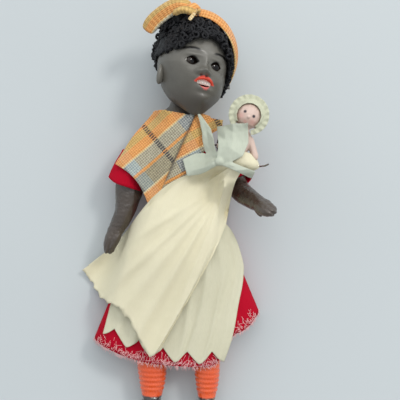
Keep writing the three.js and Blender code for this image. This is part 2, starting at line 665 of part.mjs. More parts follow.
function buildHead() {
  const neck = new THREE.LatheGeometry(
    [
      new THREE.Vector2(0, 14),
      new THREE.Vector2(5, 14),
      new THREE.Vector2(8.6, 9.5),
      new THREE.Vector2(9, 5.5),
      ...Array.from({ length: 7 }, (_, i) => {
        const a = THREE.MathUtils.degToRad(20 - i * 17);
        return new THREE.Vector2(NECK_BALL_R * Math.cos(a), NECK_BALL_R * Math.sin(a));
      }),
      new THREE.Vector2(0, -NECK_BALL_R),
    ].reverse(),
    16,
  ).translate(NECK_LOCAL.x, NECK_LOCAL.y, NECK_LOCAL.z);
  const cavity = headSolid(14, 9, -HEAD_WALL, 0);
  const eyeTools = [-1, 1].flatMap((side) => [
    ball(EYE_R + CLEAR, eyeCentre(side), 12),
    almond(EYE_OPENING.width, EYE_OPENING.height, side * EYE_X, EYE_Y, 24),
  ]);
  const shell = cut(
    join(headSolid(34, 22, 0, 1), neck, ear(-1), ear(1)),
    cavity,
    block(vec(-40, CROWN_Y, -40), vec(40, 60, 40)),
    rodAlongY(NECK_BORE_R, NECK_LOCAL.y + 1, 0, 0, NECK_LOCAL.z),
    rodAlongY(NECK_HOLE_R, NECK_LOCAL.y - 20, 0, 0, NECK_LOCAL.z, 10),
    almond(MOUTH_OPENING.width, MOUTH_OPENING.height * 2, 0, MOUTH_Y, 24),
    ...eyeTools,
  );
  headPiece("head_shell", shell, MATERIALS.bisque);

  const dome = cut(headSolid(16, 12, -0.2, 0), headSolid(14, 9, -HEAD_WALL, 0));
  const pate = keep(dome, block(vec(-40, CROWN_Y + CLEAR, -40), vec(40, 60, 40)));
  headPiece("crown_pate", pate, MATERIALS.card);

  const room = headSolid(14, 9, -HEAD_WALL - CLEAR - 0.3, 0);
  for (const [name, side] of [["right", -1], ["left", 1]]) {
    const centre = eyeCentre(side);
    headPiece(name + "_eye", closedGeometry(...pointsOf(ball(EYE_R, centre, 12))), MATERIALS.glass);
    const lump = ball(5.4, centre.clone().add(vec(side * 1.6, 0, -1.5)), 8);
    const keepOut = block(vec(-3 * side, -40, -40), vec(side * CLEAR, 40, 40));
    const set = cut(keep(lump, room), ball(EYE_R + CLEAR, centre, 12), keepOut);
    headPiece(name + "_eye_plaster", set, MATERIALS.plaster);
  }

  const gum = rodAlongX(1, -2.9, 2.9, 0, 0, 8).scale(1, 1.5, 0.7);
  const notches = [-2, -1, 0, 1, 2].map((i) => block(vec(i * 1.1 - 0.08, -3, 0.25), vec(i * 1.1 + 0.08, -0.2, 3)));
  const teeth = cut(gum, ...notches).translate(0, MOUTH_Y + 1.2, teethZ());
  headPiece("upper_teeth", teeth, MATERIALS.enamel);

  const seat = 1 + CLEAR;
  const button = new THREE.CylinderGeometry(NECK_BORE_R - CLEAR, NECK_BORE_R - CLEAR - 0.6, BUTTON_THICKNESS, 16);
  button.translate(0, NECK_LOCAL.y + seat + BUTTON_THICKNESS / 2, NECK_LOCAL.z);
  const hole = rodAlongY(BUTTON_HOLE_R, NECK_LOCAL.y, NECK_LOCAL.y + 12, 0, NECK_LOCAL.z, 10);
  headPiece("neck_button", cut(button, hole), MATERIALS.wood);

  const studEnd = NECK_STUD_Y - NECK.y;
  const top = seat + BUTTON_THICKNESS + CLEAR + 0.8;
  const shank = rodAlongY(WIRE_R, studEnd, top + 1.5, 0, 0, 8);
  const stop = new THREE.CylinderGeometry(2.2, 2.2, 0.8, 12).translate(0, top, 0);
  const pin = join(shank, stop, ball(STUD_R, vec(0, studEnd, 0), 8));
  piece("neck_stud", pin.translate(NECK.x, NECK.y, NECK.z), MATERIALS.wire);
}

function teethZ() {
  const y = MOUTH_Y + 1.2;
  const egg = Math.sqrt(1 - (y / HEAD_HALF.y) ** 2) * HEAD_HALF.z;
  return egg * (1 - 0.06 * ease(-y / HEAD_HALF.y)) - HEAD_WALL - 1.6 - CLEAR;
}
buildHead();

// Wig: a tight-curled mohair cap, cut away for the face and the ears. The scarf lies on it.
const WIG_GROW = 0.6;
const WIG_LUMP = 0.5;
const FACE_HALF_WIDTH = 16.6;
const HAIRLINE_Y = 11.2;
const NAPE_Y = -13;

function buildWig() {
  const rings = [];
  const [columns, rows] = [24, 13];
  for (let j = 1; j < rows; j++) {
    const rise = Math.PI * (j / rows - 0.5);
    rings.push(
      Array.from({ length: columns }, (_, i) => {
        const a = (2 * Math.PI * i) / columns;
        const curl = WIG_LUMP * Math.sin(9 * a + 3 * (j % 2)) * Math.sin(j * 2.2 + 1) * Math.cos(rise);
        return headPoint(a, rise, WIG_THICKNESS + curl, WIG_SIDE + curl);
      }),
    );
  }
  const cap = capped(rings, headPoint(0, -Math.PI / 2, WIG_THICKNESS), headPoint(0, Math.PI / 2, WIG_THICKNESS));
  const faceHalfHeight = (HAIRLINE_Y + 30) / 2;
  const face = new THREE.CylinderGeometry(1, 1, 60, 22).rotateX(Math.PI / 2);
  face.scale(FACE_HALF_WIDTH, faceHalfHeight, 1).translate(0, HAIRLINE_Y - faceHalfHeight, 33);
  const rightEar = ball(1, vec(-19, EAR_Y - 2, -5), 12, vec(6.6, 8.6, 12));
  const leftEar = ball(1, vec(19, EAR_Y - 0.6, -0.4), 12, vec(5.6, 7.2, 6.4));
  const above = block(vec(-40, -40, -16), vec(-6, 0, 40)).rotateX(-0.278).translate(0, -0.34, 0);
  const below = block(vec(-60, -60, -60), vec(60, NAPE_Y, 60));
  const scalp = headSolid(20, 12, WIG_GROW + 0.1, 0);
  return headPiece("wig", cut(cap, scalp, face, below, above, rightEar, leftEar), MATERIALS.mohair);
}
buildWig();

// Headscarf: a folded band that goes under the nape and up both sides to a knot over the hair.
const SCARF_MIDDLE = vec(0, 7, -4.5);
const SCARF_RISE = THREE.MathUtils.degToRad(38);
const SCARF_TURN = THREE.MathUtils.degToRad(24);
const SCARF_ROLL = 2.4;
const KNOT_ANGLE = THREE.MathUtils.degToRad(108);
const FLARE_TIP = vec(-28.5, 8.5, 1.5);
const FLARE_LIFT = 3.4;
const FLARE_HALF_WIDTH = 5.2;
const TAIL_TIP = vec(-11.4, 21.4, 18.4);
const SCARF_GAP = WIG_LUMP + 0.4;
const HAIR_HALF = HEAD_HALF.clone().add(vec(WIG_SIDE, WIG_THICKNESS, WIG_THICKNESS));

// The point of the band at some angle round its loop, at some way across its width, lifted off the wig.
function scarfPoint(angle, across, lift) {
  const forward = vec(-Math.sin(SCARF_TURN), 0, Math.cos(SCARF_TURN));
  const side = vec(Math.cos(SCARF_TURN), 0, Math.sin(SCARF_TURN));
  const up = vec(0, Math.cos(SCARF_RISE), 0).addScaledVector(forward, Math.sin(SCARF_RISE));
  const over = vec(0, -Math.sin(SCARF_RISE), 0).addScaledVector(forward, Math.cos(SCARF_RISE));
  const middle = SCARF_MIDDLE.clone().addScaledVector(over, across);
  const out = side.multiplyScalar(Math.cos(angle)).addScaledVector(up, Math.sin(angle));
  const half = HAIR_HALF.clone().addScalar(SCARF_GAP);
  const [m, d] = [middle.clone().divide(half), out.clone().divide(half)];
  const [a, b, c] = [d.dot(d), m.dot(d), m.dot(m) - 1];
  const reach = (-b + Math.sqrt(b * b - a * c)) / a;
  return middle.addScaledVector(out, reach + lift);
}

function buildHeadscarf() {
  const half = SCARF_WIDTH / 2;
  const width = (angle) => half * (0.62 + 0.38 * Math.abs(Math.cos(angle)));
  const roll = (angle, v) => SCARF_ROLL * Math.sin(Math.PI * v) * ease(0.8 + 0.9 * Math.sin(angle));
  const band = sleeve(32, 3, (u, v) => {
    const angle = 2 * Math.PI * u;
    const across = width(angle) * (2 * v - 1);
    return [scarfPoint(angle, across, CLOTH + 0.2 + roll(angle, v)), scarfPoint(angle, across, 0)];
  });
  headPiece("headscarf_band", band, MATERIALS.plaid);

  const top = scarfPoint(KNOT_ANGLE, 0, CLOTH + SCARF_ROLL + CLEAR);
  const knot = ball(1, vec(0, 0, 0), 10, vec(4.8, 3.6, 4)).rotateZ(0.4);
  knot.translate(top.x - 0.6, top.y + 1.6, top.z + 0.8);
  const flare = clothEnd(top, FLARE_TIP, FLARE_LIFT, FLARE_HALF_WIDTH, 2.4);
  const tail = clothEnd(top, TAIL_TIP, 1, 3, 1.8);
  headPiece("headscarf_knot", cut(join(knot, flare, tail), scarfGuard()), MATERIALS.plaid);
}

// A loose end of the scarf: flat, rounded, from the knot to its tip, lifted off the hair in its middle.
function clothEnd(start, tip, lift, halfWidth, halfThickness) {
  const run = tip.clone().sub(start);
  const middle = start.clone().lerp(tip, 0.5);
  const outward = middle.clone().normalize();
  middle.addScaledVector(outward, lift);
  const along = run.clone().normalize();
  const seen = vec(-0.36, 0.1, 0.92);
  const across = seen.cross(along).normalize();
  const facing = along.clone().cross(across);
  const shape = ball(1, vec(0, 0, 0), 10);
  const spots = shape.attributes.position;
  for (let i = 0; i < spots.count; i++) {
    const full = Math.sqrt(1 + spots.getX(i) ** 2);
    spots.setXYZ(i, spots.getX(i), spots.getY(i) * full, spots.getZ(i) * full);
  }
  shape.scale(run.length() / 2 + 1.4, halfWidth, halfThickness);
  shape.applyMatrix4(new THREE.Matrix4().makeBasis(along, across, facing));
  return shape.translate(middle.x, middle.y, middle.z);
}

// The room taken by the head, its hair and the band, which the knot stays out of.
function scarfGuard() {
  const half = HAIR_HALF.clone().addScalar(SCARF_GAP + CLOTH + SCARF_ROLL + 0.2 + CLEAR);
  return ball(1, vec(0, 0, 0), 20, half);
}
buildHeadscarf();

// Dress: a fitted bodice, two short sleeves that ride the arms, and a skirt of two panels.
const ON_BODY = CLEAR + 0.1;
const BODICE_ROWS = TORSO_ROWS.filter((y) => y >= WAIST_Y && y <= 74);

function buildBodice() {
  const wall = (u, v) => {
    const y = BODICE_ROWS[Math.round(v * (BODICE_ROWS.length - 1))];
    const k = Math.round(u * TORSO_SIDES) % TORSO_SIDES;
    return [torsoRing(y, ON_BODY + CLOTH)[k], torsoRing(y, ON_BODY)[k]];
  };
  const tube = sleeve(TORSO_SIDES, BODICE_ROWS.length - 1, wall);
  const armhole = rodAlongX(CORD_HOLE_R + 0.6, -40, 40, SHOULDER_Y, JOINT_Z);
  return piece("dress_bodice", cut(tube, armhole), MATERIALS.redCotton);
}
buildBodice();

const SLEEVE_TOP = 5.5;
const SLEEVE_LENGTH = 16;
const RIGHT_SLEEVE_LENGTH = 19.4;
const SLEEVE_FLARE = 1.7;

// A sleeve keeps to the arm at its top and widens to its cut end, longer towards the body.
function sleeveSolid(rows, slant, length) {
  const columns = 16;
  return sleeve(columns, 4, (u, v) => {
    const lip = (p, middle) => vec(p.x, p.y + slant * v * (p.x - middle), p.z);
    const way = SLEEVE_TOP + length * v;
    const middle = between(rows, way)[0];
    const gather = 0.35 * Math.cos(8 * Math.PI * u) * v;
    const grow = 0.9 + SLEEVE_FLARE * v + gather;
    const k = Math.round(u * columns) % columns;
    const [out, inn] = [grow + CLOTH, grow].map((g) => armRing(rows, way, g, columns)[k]);
    return [lip(out, middle), lip(inn, middle)];
  });
}
piece("right_sleeve", sleeveSolid(RIGHT_ARM, -0.55, RIGHT_SLEEVE_LENGTH), MATERIALS.redCotton);
piece("left_sleeve", sleeveSolid(LEFT_ARM, 0.3, SLEEVE_LENGTH), MATERIALS.redCotton);

const SKIRT_FIT = ON_BODY + CLOTH + CLEAR + 0.2;
const SKIRT_RISE = [
  [-1, 6.3],
  [-0.5, 1.6],
  [0, 0],
  [0.45, 0.6],
  [0.66, 12.2],
  [0.85, 18.6],
  [1, 23],
];
const SKIRT_MIDDLE = [
  [0, JOINT_Z],
  [0.2, 11.5],
  [0.45, 5],
  [1, 3.4],
];
const SKIRT_CROWN = [
  [0, 13],
  [0.18, 16.4],
  [0.37, 20.8],
  [0.7, 19.6],
  [1, 18.4],
];

// A point of the skirt at an angle round the body and a way down it, moved out by some amount.
function skirtPoint(angle, down, out, back) {
  const [halfWidth, halfDepth] = between(TORSO, WAIST_Y);
  const fit = SKIRT_FIT + CLOTH;
  const across = Math.sign(Math.cos(angle)) * Math.abs(Math.cos(angle)) ** (2 / TORSO_POWER);
  const reach = down * (SKIRT_LENGTH - between(SKIRT_RISE, across)[0]);
  const fan = THREE.MathUtils.degToRad(SKIRT_FLARE[across < 0 ? 0 : 1]) * across;
  const x = across * (halfWidth + fit + out) + reach * Math.sin(fan);
  const y = WAIST_Y - reach * Math.cos(fan);
  const [middle] = between(SKIRT_MIDDLE, down);
  const round = Math.abs(Math.sin(angle)) ** mix(2 / TORSO_POWER, 0.55, ease(down / 0.3));
  if (back) {
    const height = mix(halfDepth + fit, middle + 3, ease(down / 0.15));
    return vec(x, y, Math.max(-out, middle - CLEAR - (height + out) * round));
  }
  const [crown] = between(SKIRT_CROWN, down);
  const pleat = 1.3 * down * Math.max(0, Math.abs(across) - 0.6) * 2.4 * Math.cos(15 * across);
  return vec(x, y, middle + CLEAR + (crown + out) * round + pleat * round);
}

const SKIRT_COLUMNS = 24;
piece(
  "skirt_front",
  sheet(SKIRT_COLUMNS, 8, (u, v) => {
    const angle = Math.PI * (1 - u);
    return [skirtPoint(angle, v, 0, false), skirtPoint(angle, v, -CLOTH, false)];
  }),
  MATERIALS.redCotton,
);
piece(
  "skirt_back",
  sheet(14, 6, (u, v) => {
    const angle = Math.PI * (1 + u);
    return [skirtPoint(angle, v, -CLOTH, true), skirtPoint(angle, v, 0, true)];
  }),
  MATERIALS.redCotton,
);

// Apron: a gathered panel with a vandyked hem over the front of the skirt, on a band tied round the bodice.
const APRON_TEETH = 5;
const APRON_HEM = 0.975;
const APRON_EDGE = [
  [0, 0.8, 2.3],
  [0.4, 0.1, 2.66],
  [0.65, 0.52, 2.7],
  [0.9, 1, 2.7],
  [1, 1.16, 2.7],
];

function buildApron() {
  const wall = (u, v) => {
    const tooth = Math.abs(((u * APRON_TEETH + 0.5) % 1) * 2 - 1);
    const hem = APRON_HEM - (HEM_TOOTH / SKIRT_LENGTH) * tooth ** 1.3;
    const down = mix(0.015, hem, v);
    const [right, left] = between(APRON_EDGE, down);
    const angle = Math.acos(mix(Math.cos(left), Math.cos(right), u));
    const gather = 0.7 * (0.5 - 0.5 * Math.cos(2 * Math.PI * APRON_TEETH * u)) * (1 - 0.4 * v);
    const lift = DRAPE_GAP + gather;
    return [skirtPoint(angle, down, lift + CLOTH, false), skirtPoint(angle, down, lift, false)];
  };
  piece("apron", sheet(6 * APRON_TEETH, 6, wall), MATERIALS.whiteCotton);
  const band = sleeve(TORSO_SIDES, 1, (u, v) => {
    const k = Math.round(u * TORSO_SIDES) % TORSO_SIDES;
    const y = WAIST_Y + CLEAR + 3.4 * v;
    const fit = ON_BODY + CLOTH + CLEAR + 0.2;
    return [torsoRing(y, fit + CLOTH)[k], torsoRing(y, fit)[k]];
  });
  piece("apron_waistband", band, MATERIALS.whiteCotton);
}
buildApron();

// Laid cloth: a grid over the plan that rests on the pieces under it, eased where it spans between them.
function laidCloth(columns, rows, plan, under, spread, lowest, fold) {
  doll.updateMatrixWorld(true);
  const rest = [];
  for (let j = 0; j <= rows; j++) {
    rest.push(
      Array.from({ length: columns + 1 }, (_, i) => {
        const [x, y] = plan(i / columns, j / rows);
        return Math.max(topUnder(x, y, under, spread) + DRAPE_GAP, lowest(i / columns, j / rows));
      }),
    );
  }
  let height = rest.map((row) => [...row]);
  for (let pass = 0; pass < 3; pass++) {
    height = height.map((row, j) =>
      row.map((value, i) => {
        const around = [row[i - 1], row[i + 1], height[j - 1]?.[i], height[j + 1]?.[i]];
        const near = around.filter((h) => h !== undefined);
        return Math.max(rest[j][i], 0.5 * value + (0.5 * near.reduce((a, b) => a + b, 0)) / near.length);
      }),
    );
  }
  return sheet(columns, rows, (u, v) => {
    const [x, y] = plan(u, v);
    const z = height[Math.round(v * rows)][Math.round(u * columns)] + fold(u, v);
    return [vec(x, y, z + CLOTH), vec(x, y, z)];
  });
}

// A smooth edge through a few points of the plan.
function edge(...points) {
  const curve = new THREE.CatmullRomCurve3(points.map(([x, y]) => vec(x, y, 0)));
  return (t) => curve.getPoint(clamp01(t));
}

function betweenEdges(first, second, bulge = () => [0, 0]) {
  return (u, v) => {
    const p = first(u).lerp(second(u), v);
    const [x, y] = bulge(u, v);
    return [p.x + x, p.y + y];
  };
}

const named = (...names) => names.map((name) => doll.getObjectByName(name));
const bodyUnder = named("torso_front", "torso_back", "dress_bodice", "apron_waistband", "skirt_front", "apron");

// Shawl: one length of plaid, over both shoulders and round behind the neck, crossed on the chest.
const SHAWL_COLLAR_Y = [75.5, 81.6];
const SHAWL_OVERLAP = 1.3;

// Near the neck the shawl stands off it all round, as high as the ring that the neck ball needs.
function collarHeight(x, y) {
  const reach = NECK_BALL_R + 1.7;
  const across = Math.min(Math.abs(x - NECK.x), reach);
  return (NECK.z + Math.sqrt(reach ** 2 - across ** 2)) * ease((y - 70) / 7);
}

function buildShawl() {
  const under = [...bodyUnder, ...named("right_arm", "right_sleeve", "left_arm")];
  const front = edge([5.4, 79.6], [3.2, 74], [-1.9, 59], [-8.6, 44.5], [-19.3, 32.6]);
  const outer = edge([-16.4, 82.2], [-26, 71.5], [-38, 53.7]);
  const sag = (u, v) => 0.9 * ease(u) * Math.sin(Math.PI * v);
  const inward = (u, v) => [2 * sag(u, v), 3.2 * sag(u, v)];
  const lowest = (plan, from, to) => (u, v) => Math.max(mix(from, to, v), collarHeight(...plan(u, v)));
  const rightPlan = betweenEdges(front, outer, inward);
  const overlap = (u, v) => SHAWL_OVERLAP * (1 - ease(4 * v)) * ease(5 * u);
  const fold = (u, v) => 0.5 * (1 - Math.cos(2 * Math.PI * 3 * v)) * u + overlap(u, v);
  const right = laidCloth(10, 8, rightPlan, under, 2.2, lowest(rightPlan, 21, 12.5), fold);
  const leftFront = edge([2.4, 80.2], [0.4, 74], [-4.4, 59.6], [-10, 46.6]);
  const leftOuter = edge([15.6, 80.5], [13.5, 66], [2, 48]);
  const leftPlan = betweenEdges(leftFront, leftOuter);
  const left = laidCloth(7, 4, leftPlan, under, 2.2, lowest(leftPlan, 21, 15), () => 0);
  const collar = sheet(16, 1, (u, v) => {
    const angle = THREE.MathUtils.degToRad(mix(112, 428, u));
    const y = mix(SHAWL_COLLAR_Y[0], SHAWL_COLLAR_Y[1], v);
    const [halfWidth, halfDepth] = between(TORSO, SHAWL_COLLAR_Y[0]);
    const [, , z, x] = between(TORSO, y);
    const [c, s] = [Math.cos(angle), Math.sin(angle)];
    const at = (grow) => vec(x + (halfWidth + grow) * c, y, z + (halfDepth + grow) * s);
    const lift = 0.8 + 1.8 * ease((Math.abs(u - 0.5) - 0.36) / 0.1);
    return [at(lift + CLOTH), at(lift)];
  });
  return piece("shawl", join(right, left, collar), MATERIALS.plaid);
}
buildShawl();

// Baby: a small one-piece bisque doll with a frilled bonnet, pinned and tied to the chest.
const BABY_WAIST = vec(25.8, 54.2, JOINT_Z + 21.8);
const BABY_HEAD = vec(0, 26.6, 0.8);
const BABY_HAND = vec(9.4, 7.6, 1);
const BABY_PIN = vec(15, 4.4, 1.4);
const BABY_ARM_R = 2;
const BABY_BODY = [
  [-10, 1.6, 1.4, 0],
  [-6, 3, 2.6, 0],
  [0, 4.6, 3.8, 0],
  [10, 5.3, 4.1, 0],
  [16, 5.7, 3.7, 0],
  [19, 2.9, 2.7, 0.4],
  [21.5, 2.6, 2.6, 0.6],
];
const baby = new THREE.Group();
baby.position.copy(BABY_WAIST);
baby.rotation.z = BABY_LEAN;
doll.add(baby);

function babyPiece(name, geometry, material) {
  const mesh = piece(name, geometry, material);
  baby.add(mesh);
  return mesh;
}

function babyRing(y, grow, sides = 10) {
  const [halfWidth, halfDepth, z] = between(BABY_BODY, y);
  return ring(0, y, z, halfWidth + grow, halfDepth + grow, sides);
}

function buildBaby() {
  const face = ball(BABY_HEAD_R, BABY_HEAD, 14);
  const nose = ball(0.8, BABY_HEAD.clone().add(vec(0, -1.6, BABY_HEAD_R - 0.2)), 6);
  const body = loft([-10, -8.5, -5, 0, 10, 16, 18, 19, 21.5].map((y) => babyRing(y, 0)));
  const reaches = [1, -0.96].map((side) => {
    const hand = BABY_HAND.clone().multiply(vec(side, 1, 1));
    return [vec(4.6 * Math.sign(side), 15, 0), hand];
  });
  const arms = reaches.map((reach) => capsule(reach, BABY_ARM_R));
  babyPiece("baby_doll", join(face, nose, body, ...arms), MATERIALS.pinkBisque);

  const shell = cut(
    ball(BABY_HEAD_R + 1.5, BABY_HEAD, 12),
    ball(BABY_HEAD_R + 0.65, BABY_HEAD, 12),
    rodAlongZ(BABY_HEAD_R - 0.9, BABY_HEAD.clone().add(vec(0, -0.6, 0)), 30),
    block(vec(-30, -30, -30), vec(30, BABY_HEAD.y - 5, 30)),
  );
  const frill = sheet(32, 1, (u, v) => {
    const angle = THREE.MathUtils.degToRad(mix(-68, 232, u));
    const radius = mix(BABY_HEAD_R + 0.55, BABY_HEAD_R + 3.4, v);
    const wave = 0.55 * v * Math.cos(32 * Math.PI * u);
    const [c, s] = [Math.cos(angle), Math.sin(angle)];
    const at = (lift) => BABY_HEAD.clone().add(vec(radius * c, radius * s, 2.4 + wave + lift));
    return [at(CLOTH), at(0)];
  });
  babyPiece("baby_bonnet", join(shell, frill), MATERIALS.creamCotton);

  const puff = [
    [-1.5, 0.5, 0.4],
    [2, 2.9, 2.5],
    [5, 2.3, 2.3],
    [8.4, 0.7, 0.5],
  ];
  const gathered = sleeve(20, 4, (u, v) => {
    const y = mix(puff[0][0], puff[3][0], v);
    const k = Math.round(u * 20) % 20;
    const [loose, sideways] = between(puff, y);
    const grow = loose + 0.3 * Math.cos(20 * Math.PI * u);
    const [halfWidth, halfDepth, z] = between(BABY_BODY, y);
    const at = (fit) => ring(sideways, y, z, halfWidth + sideways + fit, halfDepth + fit, 20)[k];
    return [at(grow + CLOTH), at(grow)];
  });
  const armRooms = reaches.map((reach) => capsule(reach, BABY_ARM_R + CLEAR));
  babyPiece("baby_gown_bodice", cut(gathered, ...armRooms), MATERIALS.creamCotton);
}

function rodAlongZ(radius, base, length) {
  const geometry = new THREE.CylinderGeometry(radius, radius, length, 14).rotateX(Math.PI / 2);
  return geometry.translate(base.x, base.y, base.z + length / 2);
}

function capsule([from, to], radius) {
  const along = to.clone().sub(from);
  const geometry = new THREE.CapsuleGeometry(radius, along.length(), 2, 8);
  geometry.applyQuaternion(new THREE.Quaternion().setFromUnitVectors(vec(0, 1, 0), along.clone().normalize()));
  const middle = from.clone().lerp(to, 0.5);
  return geometry.translate(middle.x, middle.y, middle.z);
}
buildBaby();

// Gown: the baby's long skirt, laid slantwise over the apron and down on to the table beside it.
function buildGown() {
  const sleeves = named("right_sleeve", "left_sleeve", "left_arm");
  const under = [...bodyUnder, ...named("shawl", "baby_doll", "baby_gown_bodice"), ...sleeves];
  const left = edge([17.6, 54.4], [-5, 45.3], [-19.8, 31.2], [-33, 14], [-41.6, 6], [-54, -4.5]);
  const right = edge([30, 51], [27, 45], [24, 24], [15, 3], [-8.4, -42]);
  const hem = edge([-54, -4.5], [-43.8, -17.5], [-28.7, -23], [-13.6, -46.4], [-8.4, -42]);
  const plan = (u, v) => {
    const p = left(v).lerp(right(v), u);
    const straight = left(1).lerp(right(1), u);
    const shift = hem(u).sub(straight).multiplyScalar(ease(v));
    return [p.x + shift.x, p.y + shift.y];
  };
  const broad = (u) => 1.1 * (1 + Math.cos(2 * Math.PI * 3.4 * u + 1.2));
  const fine = (u) => 0.35 * (1 + Math.sin(19 * u));
  const fold = (u, v) => ease(v * 2.5) * (broad(u) + fine(u));
  return piece("baby_gown", laidCloth(18, 12, plan, under, 2.8, () => 0, fold), MATERIALS.creamCotton);
}
buildGown();

// Ribbon: a pale sash over the baby's waist, its bow with a side loop, an upright loop and a pointed tail.
const BOW_KNOT = [18.8, 55.6];

function ribbonLength(columns, rows, middle, halfWidth, puff, under) {
  const plan = (u, v) => {
    const p = middle(v);
    const along = middle(v + 0.02).sub(middle(v - 0.02)).normalize();
    const side = (2 * u - 1) * halfWidth(v);
    return [p.x - along.y * side, p.y + along.x * side];
  };
  const round = (u) => 0.55 + 0.45 * Math.cos(2 * Math.PI * (u - 0.5));
  const crease = (u, v) => CLEAR + 0.2 + puff * Math.sin(Math.PI * v) * round(u);
  return laidCloth(columns, rows, plan, under, 2.8, () => 22, crease);
}

function buildRibbon() {
  const pieces = ["shawl", "baby_doll", "baby_gown_bodice", "baby_bonnet", "baby_gown", "dress_bodice"];
  const under = named(...pieces);
  const widths = (...rows) => (v) => between(rows, v)[0];
  const sideWay = edge([19.4, 55.8], [10, 55], [1.4, 52.4]);
  const tallWay = edge([18.4, 55], [25, 64], [24.8, 74.8]);
  const tailWay = edge([18.8, 54.8], [14, 62], [12, 72], [6.8, 82]);
  const sashWay = edge([17.4, 56.2], [24, 54], [30, 51.6], [36.4, 49.4]);
  const side = ribbonLength(4, 5, sideWay, widths([0, 1.4], [0.5, 5.6], [1, 4.6]), 2.2, under);
  const tall = ribbonLength(4, 5, tallWay, widths([0, 1.4], [0.4, 7.2], [1, 7.6]), 1.8, under);
  const tail = ribbonLength(2, 6, tailWay, widths([0, 1.2], [0.3, 2.6], [0.6, 2.8], [1, 0.3]), 0.6, under);
  const sash = ribbonLength(2, 6, sashWay, widths([0, 1.6], [1, 2]), 0.3, under);
  const knotTop = topUnder(BOW_KNOT[0], BOW_KNOT[1], named("baby_gown", "baby_gown_bodice"), 2.6) + 3;
  const knot = ball(1, vec(BOW_KNOT[0], BOW_KNOT[1], knotTop), 10, vec(2.6, 2.2, 2.2));
  const bow = [side, tall, tail, sash, knot].map(solid).reduce((a, b) => a.add(b));
  const [whole] = bow.decompose().sort((a, b) => b.volume() - a.volume());
  piece("ribbon_bow", geometryOf(whole), MATERIALS.paleRibbon);
}
buildRibbon();

// Pin: the steel dress pin that holds the baby, its bent head showing beside the baby's hand.
function buildPin() {
  const side = BABY_PIN.clone().applyEuler(baby.rotation).add(BABY_WAIST);
  const points = [vec(2.4, 1, 2.2), vec(0.9, 0.2, 1.4), vec(0, 0, -1), vec(-3, 0, -9)].map((p) => p.add(side));
  piece("baby_pin", closedGeometry(...pointsOf(cord(points, WIRE_R * 0.7, 10, 2))), MATERIALS.wire);
}
buildPin();

export default doll;
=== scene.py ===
import math
import random
import bmesh
import bpy
from mathutils import Matrix, Vector, bvhtree, kdtree, noise
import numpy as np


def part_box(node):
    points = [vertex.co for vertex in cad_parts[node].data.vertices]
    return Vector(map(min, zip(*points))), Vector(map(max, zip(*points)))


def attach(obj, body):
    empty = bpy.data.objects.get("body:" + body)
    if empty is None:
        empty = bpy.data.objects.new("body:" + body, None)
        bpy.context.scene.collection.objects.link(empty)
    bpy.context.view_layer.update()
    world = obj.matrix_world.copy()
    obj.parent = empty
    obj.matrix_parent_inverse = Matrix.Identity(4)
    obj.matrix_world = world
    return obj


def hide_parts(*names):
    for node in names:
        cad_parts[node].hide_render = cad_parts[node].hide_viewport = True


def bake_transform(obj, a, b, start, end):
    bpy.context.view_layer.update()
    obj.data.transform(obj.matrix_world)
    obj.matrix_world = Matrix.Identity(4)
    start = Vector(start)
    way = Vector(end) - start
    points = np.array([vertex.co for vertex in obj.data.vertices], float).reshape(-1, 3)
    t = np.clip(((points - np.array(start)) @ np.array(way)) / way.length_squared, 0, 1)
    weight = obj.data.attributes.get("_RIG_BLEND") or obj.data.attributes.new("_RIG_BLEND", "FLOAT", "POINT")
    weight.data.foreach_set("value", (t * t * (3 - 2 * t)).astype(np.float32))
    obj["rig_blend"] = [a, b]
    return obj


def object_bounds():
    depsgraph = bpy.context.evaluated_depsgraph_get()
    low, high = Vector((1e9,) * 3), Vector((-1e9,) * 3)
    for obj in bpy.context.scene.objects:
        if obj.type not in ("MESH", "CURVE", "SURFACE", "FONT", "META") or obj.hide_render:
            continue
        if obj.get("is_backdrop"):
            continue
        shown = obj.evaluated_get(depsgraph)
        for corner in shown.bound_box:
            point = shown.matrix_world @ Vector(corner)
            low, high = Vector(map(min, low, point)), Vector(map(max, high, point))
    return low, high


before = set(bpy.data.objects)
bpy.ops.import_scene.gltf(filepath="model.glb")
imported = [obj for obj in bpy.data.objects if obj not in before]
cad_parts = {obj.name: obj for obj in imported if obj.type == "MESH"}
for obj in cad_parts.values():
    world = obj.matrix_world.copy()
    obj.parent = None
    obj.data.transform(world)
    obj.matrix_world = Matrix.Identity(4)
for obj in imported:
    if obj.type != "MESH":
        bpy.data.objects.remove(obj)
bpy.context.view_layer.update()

# Table, light and camera.
# The doll lies on a plain pale table, seen straight from above and turned by under two degrees.
# A broad soft lamp stands to its left, so the shadows fall to its right, and the room fills the rest.
TABLE_SIZE = 1.5
TABLE_MIDDLE = (0.0, 0.03, -0.0004)
LIT_SPOT = (0.0, 0.03, 0.0)
ROOM_COLOUR = (0.93, 0.97, 1.0, 1.0)
ROOM_GLOW = 0.84
GLOW_RISE = 0.5
LAMP_COLOUR = (1.0, 0.98, 0.95)
CAMERA_PLACE = (0.0098, 0.0361, 0.395)
CAMERA_TURN = math.radians(1.8)
CAMERA_ANGLE = math.radians(31.7)


def link(name, data):
    made = bpy.data.objects.new(name, data)
    bpy.context.scene.collection.objects.link(made)
    return made


def set_out(name, bm):
    mesh = bpy.data.meshes.new(name)
    bm.to_mesh(mesh)
    bm.free()
    return link(name, mesh)


table_bm = bmesh.new()
bmesh.ops.create_grid(table_bm, x_segments=4, y_segments=4, size=TABLE_SIZE)
bmesh.ops.translate(table_bm, verts=table_bm.verts, vec=TABLE_MIDDLE)
table_top = set_out("table_top", table_bm)
table_top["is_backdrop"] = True


def node(tree, kind, **settings):
    made = tree.nodes.new(kind)
    for name, value in settings.items():
        setattr(made, name, value)
    return made


# Joins a socket to another one, or sets it to a plain value.
def plug(target, source):
    if isinstance(source, bpy.types.NodeSocket):
        target.id_data.links.new(source, target)
    else:
        target.default_value = source


